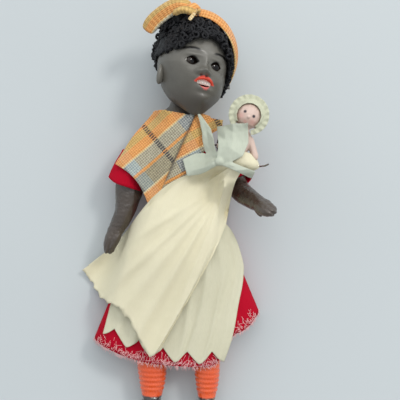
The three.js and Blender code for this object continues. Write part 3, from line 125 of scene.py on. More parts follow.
def calc(operation, first, second=0.0):
    made = node(first.id_data, "ShaderNodeMath", operation=operation)
    plug(made.inputs[0], first)
    plug(made.inputs[1], second)
    return made.outputs[0]


def scaled(source, factor, offset):
    return calc("ADD", calc("MULTIPLY", source, factor), offset)


def tint(share, first, second):
    made = node(share.id_data, "ShaderNodeMix", data_type="RGBA")
    plug(made.inputs[0], share)
    plug(made.inputs[6], first)
    plug(made.inputs[7], second)
    return made.outputs[2]


def colour(shader, share, first, second):
    plug(shader.inputs["Base Color"], tint(share, first, second))


def add_texture(kind, place, scale, **settings):
    made = node(place.id_data, kind, **settings)
    plug(made.inputs["Vector"], place)
    plug(made.inputs["Scale"], scale)
    return made


def new_finish(name):
    finish = bpy.data.materials.new(name)
    finish.use_nodes = True
    tree = finish.node_tree
    shader = tree.nodes["Principled BSDF"]
    place = node(tree, "ShaderNodeTexCoord").outputs["Object"]
    return finish, tree, shader, place


# A colour given as it shows on a screen, in 0 to 255.
def seen(red, green, blue):
    channels = [value / 255 for value in (red, green, blue)]
    linear = [((c + 0.055) / 1.055) ** 2.4 if c > 0.04045 else c / 12.92 for c in channels]
    return (*linear, 1.0)


painted_table, tree, shader, place = new_finish("painted_table")
table_stain = add_texture("ShaderNodeTexNoise", place, 5.0)
colour(shader, table_stain.outputs[0], seen(188, 194, 196), seen(196, 202, 204))
plug(shader.inputs["Roughness"], 0.75)
table_top.data.materials.append(painted_table)

# The room is brighter past the doll's head than past its feet.
world = bpy.data.worlds.new("room")
world.use_nodes = True
sky = world.node_tree
backdrop = sky.nodes["Background"]
plug(backdrop.inputs["Color"], ROOM_COLOUR)
look = node(sky, "ShaderNodeSeparateXYZ")
plug(look.inputs[0], node(sky, "ShaderNodeTexCoord").outputs["Generated"])
plug(backdrop.inputs["Strength"], scaled(look.outputs[1], GLOW_RISE, ROOM_GLOW))
bpy.context.scene.world = world


def soft_lamp(name, at, size, power):
    lamp = bpy.data.lights.new(name, "AREA")
    lamp.shape = "DISK"
    lamp.size = size
    lamp.energy = power
    lamp.color = LAMP_COLOUR
    stand = link(name, lamp)
    stand.location = at
    stand.rotation_euler = (Vector(LIT_SPOT) - Vector(at)).to_track_quat("-Z", "Y").to_euler()


soft_lamp("window", (0.8, 0.75, 1.2), 0.3, 7.4)
soft_lamp("ceiling", (0.05, 0.5, 0.95), 0.8, 2.0)

camera = link("camera", bpy.data.cameras.new("camera"))
camera.location = CAMERA_PLACE
camera.rotation_euler = (0.0, 0.0, CAMERA_TURN)
camera.data.angle = CAMERA_ANGLE
camera.data.clip_start = 0.01
bpy.context.scene.camera = camera
bpy.context.scene.view_settings.view_transform = "Standard"

# Torso.
# Two pressed papier-mache halves, glued along the sides and varnished a dark brown.
# The clothes hide all of it but the plate under the neck, so its own solids are kept.


def new_group(name, inputs, outputs):
    group = bpy.data.node_groups.new(name, "ShaderNodeTree")
    for way, sockets in (("INPUT", inputs), ("OUTPUT", outputs)):
        for socket, kind in sockets.items():
            group.interface.new_socket(socket, in_out=way, socket_type="NodeSocket" + kind)
    return group, node(group, "NodeGroupInput"), node(group, "NodeGroupOutput")


grain_group, entry, leave = new_group(
    "pressed_grain", {"Place": "Vector", "Fineness": "Float"}, {"Height": "Float", "Cloud": "Float"}
)
tree = grain_group
fineness = entry.outputs["Fineness"]
for output, scale, detail in (("Height", fineness, 4.0), ("Cloud", calc("MULTIPLY", fineness, 0.12), 3.0)):
    blotch = add_texture("ShaderNodeTexNoise", entry.outputs["Place"], scale)
    plug(blotch.inputs["Detail"], detail)
    plug(leave.inputs[output], blotch.outputs[0])


def add_grain(place, fineness):
    grain = node(place.id_data, "ShaderNodeGroup", node_tree=grain_group)
    plug(grain.inputs["Place"], place)
    plug(grain.inputs["Fineness"], fineness)
    return grain.outputs["Height"], grain.outputs["Cloud"]


def raise_from(shader, height, depth):
    relief = node(shader.id_data, "ShaderNodeBump")
    plug(relief.inputs["Distance"], depth)
    plug(relief.inputs["Height"], height)
    plug(shader.inputs["Normal"], relief.outputs[0])


def roughen(shader, share, spread, least):
    plug(shader.inputs["Roughness"], scaled(share, spread, least))


dark_varnish, tree, shader, place = new_finish("dark_varnish")
height, cloud = add_grain(place, 620.0)
colour(shader, cloud, seen(44, 36, 30), seen(82, 70, 60))
roughen(shader, cloud, 0.3, 0.14)
plug(shader.inputs["Coat Weight"], 0.6)
plug(shader.inputs["Coat Roughness"], 0.14)
raise_from(shader, height, 0.0006)


def dress_node(name, finish):
    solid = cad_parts[name]
    solid.data.materials.clear()
    solid.data.materials.append(finish)
    return solid


for half in ("torso_front", "torso_back"):
    dress_node(half, dark_varnish)

# Stringing.
# Woven elastic runs from arm to arm and from leg to neck to leg, and hooks on to bent wire studs.
# It holds every limb in its socket and can't be seen on the dressed doll.
woven_elastic, tree, shader, place = new_finish("woven_elastic")
cover = add_texture("ShaderNodeTexWave", place, 400.0, wave_type="BANDS", bands_direction="Y")
colour(shader, cover.outputs["Fac"], seen(206, 196, 180), seen(228, 220, 206))
plug(shader.inputs["Roughness"], 0.8)
raise_from(shader, cover.outputs["Fac"], 0.0002)

drawn_wire, tree, shader, place = new_finish("drawn_wire")
height, cloud = add_grain(place, 2500.0)
colour(shader, cloud, seen(120, 118, 114), seen(168, 166, 160))
roughen(shader, height, 0.3, 0.2)
plug(shader.inputs["Metallic"], 1.0)

for strand in ("arm_elastic", "neck_elastic"):
    dress_node(strand, woven_elastic)
for hook in ("left_leg_stud", "right_leg_stud", "left_arm_stud", "right_arm_stud", "neck_stud"):
    dress_node(hook, drawn_wire)

# Legs.
# Papier-mache pressed in moulds, with ribbed stockings and one-strap shoes moulded on and painted.
# The stockings are a glossy orange, the shoes a worn black, and the thighs above keep the dark varnish.
WELD = 2e-6
MM = 0.001


def merged_solid(name):
    bm = bmesh.new()
    bm.from_mesh(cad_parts[name].data)
    bmesh.ops.remove_doubles(bm, verts=bm.verts, dist=WELD)
    return bm


def settle(made):
    graph = bpy.context.evaluated_depsgraph_get()
    mesh = bpy.data.meshes.new_from_object(made.evaluated_get(graph))
    made.modifiers.clear()
    made.data = mesh
    mesh.polygons.foreach_set("use_smooth", [True] * len(mesh.polygons))
    mesh.materials.clear()
    return made


def softened(solid, name, rounds=2, crisp=False):
    bm = merged_solid(solid)
    bmesh.ops.join_triangles(bm, faces=bm.faces, angle_face_threshold=0.8, angle_shape_threshold=1.1)
    if crisp:
        crease = bm.edges.layers.float.new("crease_edge")
        for edge in bm.edges:
            edge[crease] = float(edge.calc_face_angle(0.0) > 0.9)
    made = set_out(name, bm)
    rounding = made.modifiers.new("rounding", "SUBSURF")
    rounding.levels = rounds
    rounding.render_levels = rounds
    return settle(made)


def evened(made, grain_size, passes):
    even = made.modifiers.new("even", "REMESH")
    even.mode = "VOXEL"
    even.voxel_size = grain_size
    rub = made.modifiers.new("rub", "SMOOTH")
    rub.factor = 0.5
    rub.iterations = passes
    return settle(made)


def remoulded(solid, name, grain_size, passes):
    return evened(set_out(name, merged_solid(solid)), grain_size, passes)


def place_piece(made, body, slot, finish, *solids):
    made.data.materials.append(finish)
    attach(made, body)
    if solids:
        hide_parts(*solids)
    return made


# A value for each point, worked out from its place in millimetres.
def mark(made, name, value_at):
    values = made.data.attributes.new(name, "FLOAT", "POINT")
    values.data.foreach_set("value", [float(value_at(v.co * 1000)) for v in made.data.vertices])


def read_mark(tree, name):
    return node(tree, "ShaderNodeAttribute", attribute_name=name).outputs["Fac"]


def ease(t):
    t = min(1.0, max(0.0, t))
    return t * t * (3 - 2 * t)


painted_leg, tree, shader, place = new_finish("painted_leg")
height, cloud = add_grain(place, 1100.0)
orange = tint(cloud, seen(222, 74, 18), seen(234, 98, 38))
# Painted shade: the stocking is darker in the grooves between its ribs.
groove = read_mark(tree, "groove")
orange = tint(calc("MULTIPLY", groove, 0.22), orange, seen(178, 52, 16))
blacking = tint(cloud, seen(22, 20, 20), seen(52, 46, 42))
# On the shoes, random patches where the black paint is worn through to brown.
wear_and_painted_light = calc("GREATER_THAN", cloud, 0.6)
blacking = tint(calc("MULTIPLY", wear_and_painted_light, 0.6), blacking, seen(150, 112, 78))
thigh = tint(cloud, seen(46, 38, 32), seen(86, 74, 64))
lower = tint(read_mark(tree, "shoe"), orange, blacking)
colour(shader, read_mark(tree, "thigh"), lower, thigh)
roughen(shader, height, 0.2, 0.16)
plug(shader.inputs["Coat Weight"], 0.8)
plug(shader.inputs["Coat Roughness"], 0.08)
raise_from(shader, height, 0.0002)

RIB_PITCH = 2.7
RIB_HEIGHT = 0.24
STOCKING_FOOT = -68.0
STOCKING_TOP = -38.0
STRAP_MIDDLE = -72.0
STRAP_HALF_WIDTH = 1.4
SHOE_TOP = -74.8
PAINT_EDGE = 0.5
CALF_Y = -30.0
LEG_AXIS = Vector((0.0142, 0.0, 0.0125))
# How far each leg leans to the doll's left, where that starts, over what length, and its width there.
LEG_LEAN = {"left": (2.6, -25.0, 40.0, 0.94), "right": (1.2, -40.0, 25.0, 1.07)}


def rib_share(y):
    inside = ease((y - STOCKING_FOOT) / 2) * ease((STOCKING_TOP - y) / 2)
    return inside * 0.5 * (1 - math.cos(2 * math.pi * (y - STOCKING_FOOT) / RIB_PITCH))


def shoe_share(p):
    strap = 1 - ease((abs(p.y - STRAP_MIDDLE) - STRAP_HALF_WIDTH) / PAINT_EDGE)
    top = SHOE_TOP + ease((10 - p.z) / 6)
    return max(1 - ease((p.y - top) / PAINT_EDGE), strap)


for side, sign in (("left", 1), ("right", -1)):
    leg = softened(side + "_leg", side + "_leg_painted", 2)
    centre = LEG_AXIS * Vector((sign, 1, 1))
    lean, start, length, wide = LEG_LEAN[side]
    for v in leg.data.vertices:
        out = (v.co - centre) * Vector((1, 0, 1))
        down = v.co.y * 1000
        v.co += out.normalized() * MM * RIB_HEIGHT * rib_share(down)
        v.co.x += out.x * (wide - 1) * ease((CALF_Y - down) / 12) + MM * lean * ease((start - down) / length)
    # The groove mark is painted shade in the hollows between the ribs.
    mark(leg, "groove", lambda p: (p.y > STOCKING_FOOT) * (p.y < STOCKING_TOP) * (1 - rib_share(p.y)))
    mark(leg, "shoe", shoe_share)
    mark(leg, "thigh", lambda p: ease((p.y - STOCKING_TOP - 1) / 0.6))
    place_piece(leg, side + "_leg", "stocking", painted_leg, side + "_leg")

# Arms.
# Moulded in one piece with the hands, hung on the stringing, and varnished like the body.
# The right arm is straight, and the left one bends forward under the baby.
# The tip of each hand and its wrist.
HANDS = {
    "right": (Vector((-39.3, 5.5, 15.7)), Vector((-37.6, 18.5, 15.2))),
    "left": (Vector((46.8, 30.4, 42.6)), Vector((40.8, 34.5, 33.5))),
}
# The lines between the fingers: how far from the middle of the hand, and how deep.
FINGER_LINES = ((-2.3, 0.45), (0.0, 1.0), (2.3, 0.45))
FINGER_DEPTH = 0.55
FINGER_LENGTH = 8.0
KNUCKLES_AT = 9.0


def model_hand(arm, tip, wrist):
    along = (tip - wrist).normalized()
    across = along.cross(Vector((0, 0, 1))).normalized()
    normals = [v.normal.copy() for v in arm.data.vertices]
    for v, normal in zip(arm.data.vertices, normals):
        q = v.co * 1000 - tip
        back = -q.dot(along)
        beside = q.dot(across)
        groove = max(deep * math.exp(-(((beside - line) / 0.6) ** 2)) for line, deep in FINGER_LINES)
        fingers = FINGER_DEPTH * groove * ease((FINGER_LENGTH - back) / 4) * ease((back + 1.5) / 1.5)
        knuckles = 0.3 * math.exp(-(((back - KNUCKLES_AT) / 1.6) ** 2)) * (1 - groove)
        uneven = 0.2 * noise.noise(v.co * 330) + 0.12 * noise.noise(v.co * 900)
        v.co += normal * (knuckles + uneven - fingers) * MM


# The straight arm bows towards the body, is full under the sleeve and ends in a flat, narrow hand.
def bow_right_arm(arm):
    for v in arm.data.vertices:
        p = v.co * 1000
        middle = -38.4 + 0.2 * (p.y - 11.6)
        wide = 0.2 * ease((p.y - 30) / 10) * ease((58 - p.y) / 8)
        wide += 0.3 * ease((8.5 - p.y) / 3) - 0.2 * ease((20 - p.y) / 6)
        bow = 4.4 * math.exp(-(((p.y - 29) / 15) ** 2)) + 3.5 * ease((p.y - 54) / 8)
        v.co.x += MM * (wide * (p.x - middle) + bow)


for side in ("right", "left"):
    arm = softened(side + "_arm", side + "_arm_moulded", 3)
    model_hand(arm, *HANDS[side])
    if side == "right":
        bow_right_arm(arm)
    place_piece(arm, side + "_arm", "composition", dark_varnish, side + "_arm")

# Dress.
# A red cotton frock: a close bodice, two short gathered sleeves, and a skirt of a front and a back panel.
# Its hem was never sewn, so pale cross threads hang out of the frayed edge.
weave_group, entry, leave = new_group(
    "plain_weave", {"Place": "Vector", "Threads": "Float"}, {"Height": "Float", "Slub": "Float"}
)
tree = weave_group
parts = node(tree, "ShaderNodeSeparateXYZ")
plug(parts.inputs[0], entry.outputs["Place"])
yarns = []
for axis in (0, 1):
    count = calc("MULTIPLY", parts.outputs[axis], entry.outputs["Threads"])
    turns = calc("MULTIPLY", count, math.pi)
    yarns.append(calc("ABSOLUTE", calc("SINE", turns)))
plug(leave.inputs["Height"], calc("MULTIPLY", yarns[0], yarns[1]))
stretch = node(tree, "ShaderNodeMapping")
plug(stretch.inputs["Vector"], entry.outputs["Place"])
plug(stretch.inputs["Scale"], (1.0, 0.16, 1.0))
slub = add_texture("ShaderNodeTexNoise", stretch.outputs[0], entry.outputs["Threads"])
plug(leave.inputs["Slub"], slub.outputs[0])


def cotton(name, deep, pale, threads, rough, relief):
    finish, tree, shader, place = new_finish(name)
    weave = node(tree, "ShaderNodeGroup", node_tree=weave_group)
    plug(weave.inputs["Place"], place)
    plug(weave.inputs["Threads"], threads)
    aged = calc("MULTIPLY", add_grain(place, 420.0)[1], 0.6)
    colour(shader, scaled(weave.outputs["Slub"], 0.4, aged), deep, pale)
    roughen(shader, weave.outputs["Slub"], 0.15, rough)
    plug(shader.inputs["Specular IOR Level"], 0.06)
    raise_from(shader, scaled(weave.outputs["Slub"], 0.8, weave.outputs["Height"]), relief)
    return finish


red_cotton = cotton("red_cotton", seen(164, 8, 32), seen(204, 22, 50), 2600.0, 0.75, 0.00014)

bodice = softened("dress_bodice", "dress_bodice_cloth", 2, True)
place_piece(bodice, "torso", "red_cotton", red_cotton, "dress_bodice")
for side in ("right", "left"):
    puff = softened(side + "_sleeve", side + "_sleeve_cloth", 2, True)
    if side == "right":
        for v in puff.data.vertices:
            p = v.co * 1000
            v.co.y += MM * 0.6 * (p.x + 30.6) * ease((58 - p.y) / 14)
    place_piece(puff, side + "_arm", "red_cotton", red_cotton, side + "_sleeve")


def halves(name, make):
    made = []
    for side, sign in (("right", -1), ("left", 1)):
        half = make(side + "_" + name)
        bm = bmesh.new()
        bm.from_mesh(half.data)
        cut = bmesh.ops.bisect_plane(
            bm, geom=[*bm.verts, *bm.edges, *bm.faces], plane_co=(0, 0, 0), plane_no=(-sign, 0, 0),
            clear_outer=True,
        )
        rim = [g for g in cut["geom_cut"] if isinstance(g, bmesh.types.BMEdge)]
        bmesh.ops.holes_fill(bm, edges=rim, sides=0)
        for edge in rim:
            edge.smooth = False
        bm.to_mesh(half.data)
        bm.free()
        made.append((side, sign, half))
    return made


HIP_LINE = 0.012
HIP_FADE = 0.03
MIDDLE_FADE = 0.009


# The cloth below the hips goes with the leg under it, and stays with the body at the middle.
def hang_on_leg(made, side, sign, slot, finish, *solids):
    made.data.materials.append(finish)
    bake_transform(made, "torso", side + "_leg", start=(0, 0, 0), end=(sign * MIDDLE_FADE, 0, 0))
    for v, share in zip(made.data.vertices, made.data.attributes["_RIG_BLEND"].data):
        share.value *= ease((HIP_LINE - v.co.y) / HIP_FADE)
    if solids:
        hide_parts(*solids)


# A plain finish whose colour follows one output of the grain.
def grained(name, fineness, output, deep, pale, rough, relief=0.0):
    finish, tree, shader, place = new_finish(name)
    height, cloud = add_grain(place, fineness)
    colour(shader, {"Height": height, "Cloud": cloud}[output], deep, pale)
    plug(shader.inputs["Roughness"], rough)
    if relief:
        raise_from(shader, height, relief)
    return finish


frayed_thread = grained("frayed_thread", 1500.0, "Height", seen(228, 140, 150), seen(252, 234, 228), 0.85)


def scatter(name, template, moves):
    spots = []
    faces = []
    for move in moves:
        start = len(spots)
        spots.extend(move @ v.co for v in template.vertices)
        faces.extend([start + i for i in face.vertices] for face in template.polygons)
    mesh = bpy.data.meshes.new(name)
    mesh.from_pydata(spots, [], faces)
    mesh.polygons.foreach_set("use_smooth", [True] * len(mesh.polygons))
    return link(name, mesh)


THREAD_FOOT = 0.0001
THREAD_TIP = 0.00006
# Threads lie this far above the cloth, and above the table where they would go into it.
THREAD_REST = 0.0001
FRAY_FROM = -0.02
FRAY_REACH = 0.007
FRAY_FADE = 0.0016
FRAY_COUNT = 420
thread_bm = bmesh.new()
bmesh.ops.create_cone(thread_bm, cap_ends=True, segments=4, radius1=THREAD_FOOT, radius2=THREAD_TIP, depth=1.0)
one_thread = bpy.data.meshes.new("one_thread")
thread_bm.to_mesh(one_thread)
thread_bm.free()


def nearest_of(spots):
    found = kdtree.KDTree(len(spots))
    for index, spot in enumerate(spots):
        found.insert(spot, index)
    found.balance()
    return found


# Every second thread hangs from the rim, and the others lie on the cloth near it.
def fray(half, name, chance):
    rim = [v.co for v in half.data.vertices if v.normal.y < -0.5 and v.co.y < FRAY_FROM]
    near_rim = nearest_of(rim)
    drawn = []
    for face in half.data.polygons:
        foot, _, gap = near_rim.find(face.center)
        if face.normal.z > 0.6 and gap < FRAY_REACH:
            drawn.append((face, foot, math.exp(-gap / FRAY_FADE) * face.area))
    weights = [entry[2] for entry in drawn]
    moves = []
    for index in range(FRAY_COUNT):
        if index % 2:
            foot = chance.choice(rim)
            way = Vector((chance.gauss(0, 0.5), -1, abs(chance.gauss(0, 0.12))))
            length = chance.uniform(0.001, 0.0032)
            shift = 0.3
        else:
            face, edge, _ = chance.choices(drawn, weights)[0]
            corners = [half.data.vertices[i].co for i in face.vertices]
            foot = face.center.lerp(chance.choice(corners), chance.random()) + face.normal * THREAD_REST
            way = (edge - foot).normalized()
            way += face.normal.cross(way).normalized() * chance.gauss(0, 0.7)
            length = chance.uniform(0.001, 0.0042)
            shift = 0.0
        lean = way.to_track_quat("Z", "Y").to_matrix().to_4x4()
        size = Matrix.Translation((0, 0, length * shift)) @ Matrix.Diagonal((1, 1, length, 1))
        laid = Matrix.Translation(foot) @ lean @ size
        lowest = min((laid @ v.co).z for v in one_thread.vertices)
        lift = Matrix.Translation((0, 0, max(0.0, THREAD_REST - lowest)))
        moves.append(lift @ laid)
    return scatter(name, one_thread, moves)


LIFT_X = 29.0
LIFT_HALF_WIDTH = 5.5
LIFT_HEIGHT = 7.0


# Beyond the apron's left edge the hem runs up towards the side.
def lift_left_hem(made):
    for v in made.data.vertices:
        p = v.co * 1000
        lift = LIFT_HEIGHT * math.exp(-(((p.x - LIFT_X) / LIFT_HALF_WIDTH) ** 2)) * ease((-24 - p.y) / 20)
        v.co.y += MM * lift
    return made


hem_chance = random.Random(7)
skirt_cloths = []
for panel in ("front", "back"):
    solid = "skirt_" + panel
    panel_halves = halves(solid + "_cloth", lambda name: lift_left_hem(softened(solid, name, 2, True)))
    for side, sign, half in panel_halves:
        threads = fray(half, side + "_" + panel + "_fray", hem_chance)
        hang_on_leg(half, side, sign, "red_cotton", red_cotton, solid)
        hang_on_leg(threads, side, sign, "red_cotton", frayed_thread)
        skirt_cloths.append(half)

# Apron.
# White cotton cut to points along the hem, gathered into a narrow band that ties at the back.
# It has yellowed a little, and hangs in soft tucks from the band.
white_cotton = cotton("white_cotton", seen(204, 199, 170), seen(230, 226, 202), 2400.0, 0.8, 0.00012)


# A smooth way through a few points: the place at some share of it, and its direction there.
def walk(points, share):
    place = share * (len(points) - 1)
    i = min(int(place), len(points) - 2)
    t = place - i
    a, b, c, d = points[max(i - 1, 0)], points[i], points[i + 1], points[min(i + 2, len(points) - 1)]
    second = 2 * a - 5 * b + 4 * c - d
    third = 3 * b - a - 3 * c + d
    spot = 0.5 * (2 * b + (c - a) * t + second * t ** 2 + third * t ** 3)
    way = 0.5 * (c - a + 2 * second * t + 3 * third * t ** 2)
    return spot, way.normalized()


APRON_RIGHT = ((-16, 31), (-27, 12), (-33, -8), (-36.4, -22), (-39.7, -37))
APRON_LEFT = ((15, 31), (27, 20), (33.6, 4), (34, -6), (32, -18), (29.4, -35), (25.1, -49.4))
APRON_EDGES = [[Vector((x, y, 0)) for x, y in edge] for edge in (APRON_RIGHT, APRON_LEFT)]
APRON_TEETH = 5
TOOTH_DEPTH = 6.6
HEM_BOW = 5.6
PLEAT_COUNT = 8.5
PLEAT_HEIGHT = 0.0009
APRON_CLOTH = 0.0005
APRON_HEM_Z = 0.004
TAUT_SLOPE = 0.8


def apron_spot(u, v):
    right, left = [walk(edge, v)[0] for edge in APRON_EDGES]
    spot = right.lerp(left, u)
    tooth = abs((u * APRON_TEETH + 0.5) % 1 * 2 - 1) ** 1.3
    spot.y += ease((v - 0.4) / 0.6) * (TOOTH_DEPTH * tooth - HEM_BOW * 4 * u * (1 - u))
    return spot


def draped_apron(name):
    bm = bmesh.new()
    bmesh.ops.create_grid(bm, x_segments=120, y_segments=60, size=1.0)
    rows = {}
    for v in bm.verts:
        rows.setdefault(round(v.co.y, 4), []).append(v)
    for height, row in rows.items():
        row.sort(key=lambda v: v.co.x)
        down = (1 - height) / 2
        shares = [(v.co.x + 1) / 2 for v in row]
        for v, across in zip(row, shares):
            spot = apron_spot(across, down) * 0.001
            under = skirt_top.ray_cast(Vector((spot.x, spot.y, 0.1)), Vector((0, 0, -1)))[0]
            v.co = Vector((spot.x, spot.y, under.z if under else APRON_HEM_Z))
        for way in (row, row[::-1]):
            for before, v in zip(way, way[1:]):
                v.co.z = max(v.co.z, before.co.z - TAUT_SLOPE * abs(v.co.x - before.co.x))
        for v, across in zip(row, shares):
            sway = 2.4 * noise.noise((9 * across, 2 * down, 0))
            pleat = 0.5 + 0.5 * math.cos(2 * math.pi * PLEAT_COUNT * across + sway)
            v.co.z += APRON_CLOTH + PLEAT_HEIGHT * pleat ** 1.6 * ease(3 * down)
    bmesh.ops.recalc_face_normals(bm, faces=bm.faces)
    made = set_out(name, bm)
    cloth = made.modifiers.new("cloth", "SOLIDIFY")
    cloth.thickness = APRON_CLOTH
    cloth.offset = 1.0
    return settle(made)


skirt_top_bm = bmesh.new()
for half in skirt_cloths[:2]:
    skirt_top_bm.from_mesh(half.data)
skirt_top = bvhtree.BVHTree.FromBMesh(skirt_top_bm)
skirt_top_bm.free()
for side, sign, half in halves("apron_cloth", draped_apron):
    hang_on_leg(half, side, sign, "white_cotton", white_cotton, "apron")
band = softened("apron_waistband", "apron_band_cloth", 2)
place_piece(band, "torso", "white_cotton", white_cotton, "apron_waistband")

# Head.
# A socket head cast in bisque and tinted nearly black all through, with a satin fired skin.
# The eye sockets and the mouth are cut through, and lips and thin brows are painted and fired on.
head_frame = Matrix.Translation((-0.0036, 0.0795, 0.0193)) @ Matrix.Rotation(math.radians(22), 4, "Y")
head_frame = head_frame @ Matrix.Rotation(math.radians(-9), 4, "Z") @ Matrix.Translation((0, 0.027, 0.0088))
head_frame = head_frame @ Matrix.Scale(0.001, 4)
from_head = head_frame.inverted()
HALF_WIDTH, HALF_HEIGHT, HALF_DEPTH = 18.2, 22.8, 19.6
EYE_X, EYE_Y = 6.5, -1.5
MOUTH_Y = -11.2
NOSE_X = -1.0
CHIN_DROP = 5.2
JAW_LEAN = 0.25


def swell(x, y, at_x, at_y, wide, tall):
    return math.exp(-(((x - at_x) / wide) ** 2) - ((y - at_y) / tall) ** 2)


def face_relief(x, y):
    side = abs(x)
    from_nose = abs(x - NOSE_X)
    nose = 4.2 * swell(x, y, NOSE_X, -6.0, 2.3, 1.9) + 1.6 * swell(x, y, 0.4 * NOSE_X, -2, 1.8, 4.2)
    wings = 1.8 * swell(from_nose, y, 2.9, -6.6, 1.3, 1.2) - 1.0 * swell(from_nose, y, 1.4, -8.2, 0.8, 0.6)
    sockets = -1.9 * swell(side, y, EYE_X, EYE_Y, 4.4, 3)
    lids = 0.55 * swell(side, y, EYE_X, EYE_Y + 2.7, 3.6, 0.8)
    lids += 0.35 * swell(side, y, EYE_X, EYE_Y - 2.6, 3.2, 0.7)
    brows = 0.7 * swell(side, y, 6.5, 3.8, 5, 1.6)
    cheeks = 1.2 * swell(side, y, 9, -9.5, 5, 5)
    upper_lip = 1.9 * swell(x, y, 0, -9.6, 4.1, 1.2) - 0.4 * swell(x, y, 0, -8.7, 0.7, 0.9)
    lower_lip = 1.8 * swell(x, y, 0, -13.8, 3.6, 1.2)
    chin = 2.2 * swell(x, y, 0, -18.4, 5.4, 3.4) - 0.5 * swell(x, y, 0, -16, 3.6, 0.9)
    return nose + wings + sockets + lids + brows + cheeks + upper_lip + lower_lip + chin


# The lower face leans to the doll's left, more so towards the chin.
def jaw_shift(y):
    return JAW_LEAN * max(0.0, -3 - y)


def head_skin(p):
    latitude = math.asin(max(-1.0, min(1.0, p.z)))
    turn = math.atan2(p.y, p.x)
    share = latitude / math.pi + 0.5
    rise = latitude + 0.3 * math.sin(2 * math.pi * share)
    turn -= 0.55 * math.sin(turn)
    x = HALF_WIDTH * math.cos(rise) * math.sin(turn)
    y = HALF_HEIGHT * math.sin(rise)
    z = HALF_DEPTH * math.cos(rise) * math.cos(turn)
    low = ease(-y / HALF_HEIGHT)
    x *= 1 - 0.04 * low
    if y < 0:
        z *= 1 - (0.25 if z < 0 else 0.06) * low
    y -= CHIN_DROP * ease((-y - 9) / (HALF_HEIGHT - 9)) * ease((z + 2) / 10)
    if z > 0:
        z += face_relief(x, y) * ease(z / 8)
    x += jaw_shift(y) * ease((z + 4) / 12)
    x -= 2.8 * ease((-y - 14) / 9) * ease(x / 9)
    return Vector((x, y, z))


TOOL_FRONT = 34.0


def almond_tool(name, wide, tall, x, y, back):
    bm = bmesh.new()
    rim = bmesh.ops.create_circle(bm, cap_ends=True, segments=32, radius=1.0)["verts"]
    for v in rim:
        flat_y = (1 - v.co.x ** 2) * (1 if v.co.y > 0 else -1)
        v.co = Vector((x + v.co.x * wide / 2, y + flat_y * tall / 2, back))
    walls = bmesh.ops.extrude_face_region(bm, geom=bm.faces)["geom"]
    front = [g for g in walls if isinstance(g, bmesh.types.BMVert)]
    bmesh.ops.translate(bm, verts=front, vec=(0, 0, TOOL_FRONT - back))
    bmesh.ops.recalc_face_normals(bm, faces=bm.faces)
    return set_out(name, bm)


def cut_away(made, tools):
    for tool in tools:
        carve = made.modifiers.new("carve", "BOOLEAN")
        carve.operation = "DIFFERENCE"
        carve.solver = "EXACT"
        carve.object = tool
    settle(made)
    for tool in tools:
        bpy.data.objects.remove(tool)
    return made


def ball_tool(name, at, radius):
    bm = bmesh.new()
    bmesh.ops.create_uvsphere(bm, u_segments=32, v_segments=20, radius=radius)
    bmesh.ops.translate(bm, verts=bm.verts, vec=at)
    return set_out(name, bm)


def smooth_faces(bm):
    for face in bm.faces:
        face.smooth = True


CROWN_CUT_Y = 14.5
skull_bm = bmesh.new()
bmesh.ops.create_uvsphere(skull_bm, u_segments=180, v_segments=150, radius=1.0)
for v in skull_bm.verts:
    v.co = head_skin(v.co)
skull = [*skull_bm.verts, *skull_bm.edges, *skull_bm.faces]
crown_cut = (0, CROWN_CUT_Y, 0)
bmesh.ops.bisect_plane(skull_bm, geom=skull, plane_co=crown_cut, plane_no=(0, 1, 0), clear_outer=True)
bmesh.ops.holes_fill(skull_bm, edges=skull_bm.edges, sides=0)
head = set_out("head_bisque", skull_bm)

eye_centres = {}
openings = [almond_tool("mouth_cut", 8.6, 3.9, jaw_shift(MOUTH_Y), MOUTH_Y, 11.0)]
for side, sign in (("right", -1), ("left", 1)):
    low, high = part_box(side + "_eye")
    eye_centres[side] = (low + high) / 2
    middle = from_head @ eye_centres[side]
    openings.append(almond_tool(side + "_eye_cut", 6.6, 4.3, sign * EYE_X, EYE_Y, middle.z))
    openings.append(ball_tool(side + "_eye_seat", middle, 4.55))
cut_away(head, openings)

EAR_PLACE = Vector((16.6, -8.4, 0.4))
EAR_SIZE = (2.0, 5.6, 3.6, 1.0)
EAR_TURN = 0.5
EAR_HOLLOW = 0.55
# The neck's outline: radius, and height above the neck's seat.
NECK_OUTLINE = (
    (0, -8.4), (4.2, -7.3), (7.2, -4.4), (8.4, -0.4), (8.0, 2.2), (7.6, 5.2), (7.8, 9.5), (7.0, 14), (0, 14),
)
NECK_SEAT_Y = -27.0
NECK_AXIS_Z = -8.8
NECK_SHIFT = 3.4

head_bm = bmesh.new()
head_bm.from_mesh(head.data)
for sign in (-1, 1):
    ear = bmesh.ops.create_uvsphere(head_bm, u_segments=28, v_segments=20, radius=1.0)["verts"]
    for v in ear:
        outside = 1 if v.co.x * sign > 0 else 0
        v.co.x -= EAR_HOLLOW * swell(v.co.y, v.co.z, 0.1, 0.2, 0.5, 0.45) * sign * outside
    turn = Matrix.Translation(EAR_PLACE * Vector((sign, 1, 1))) @ Matrix.Rotation(sign * EAR_TURN, 4, "Y")
    bmesh.ops.transform(head_bm, matrix=turn @ Matrix.Diagonal(EAR_SIZE), verts=ear)
neck_start = len(head_bm.verts)
profile = [head_bm.verts.new((r, y + NECK_SEAT_Y, NECK_AXIS_Z)) for r, y in NECK_OUTLINE]
rim = [head_bm.edges.new(pair) for pair in zip(profile, profile[1:])]
bmesh.ops.spin(
    head_bm, geom=[*profile, *rim], cent=(0, 0, NECK_AXIS_Z), axis=(0, 1, 0), angle=2 * math.pi, steps=40,
    use_merge=True,
)
head_bm.verts.ensure_lookup_table()
for v in head_bm.verts[neck_start:]:
    v.co.x += NECK_SHIFT * ease((v.co.y + 26) / 7)
bmesh.ops.remove_doubles(head_bm, verts=head_bm.verts, dist=1e-4)
bmesh.ops.recalc_face_normals(head_bm, faces=head_bm.faces)
smooth_faces(head_bm)
head_bm.to_mesh(head.data)
head_bm.free()
head.data.transform(head_frame)


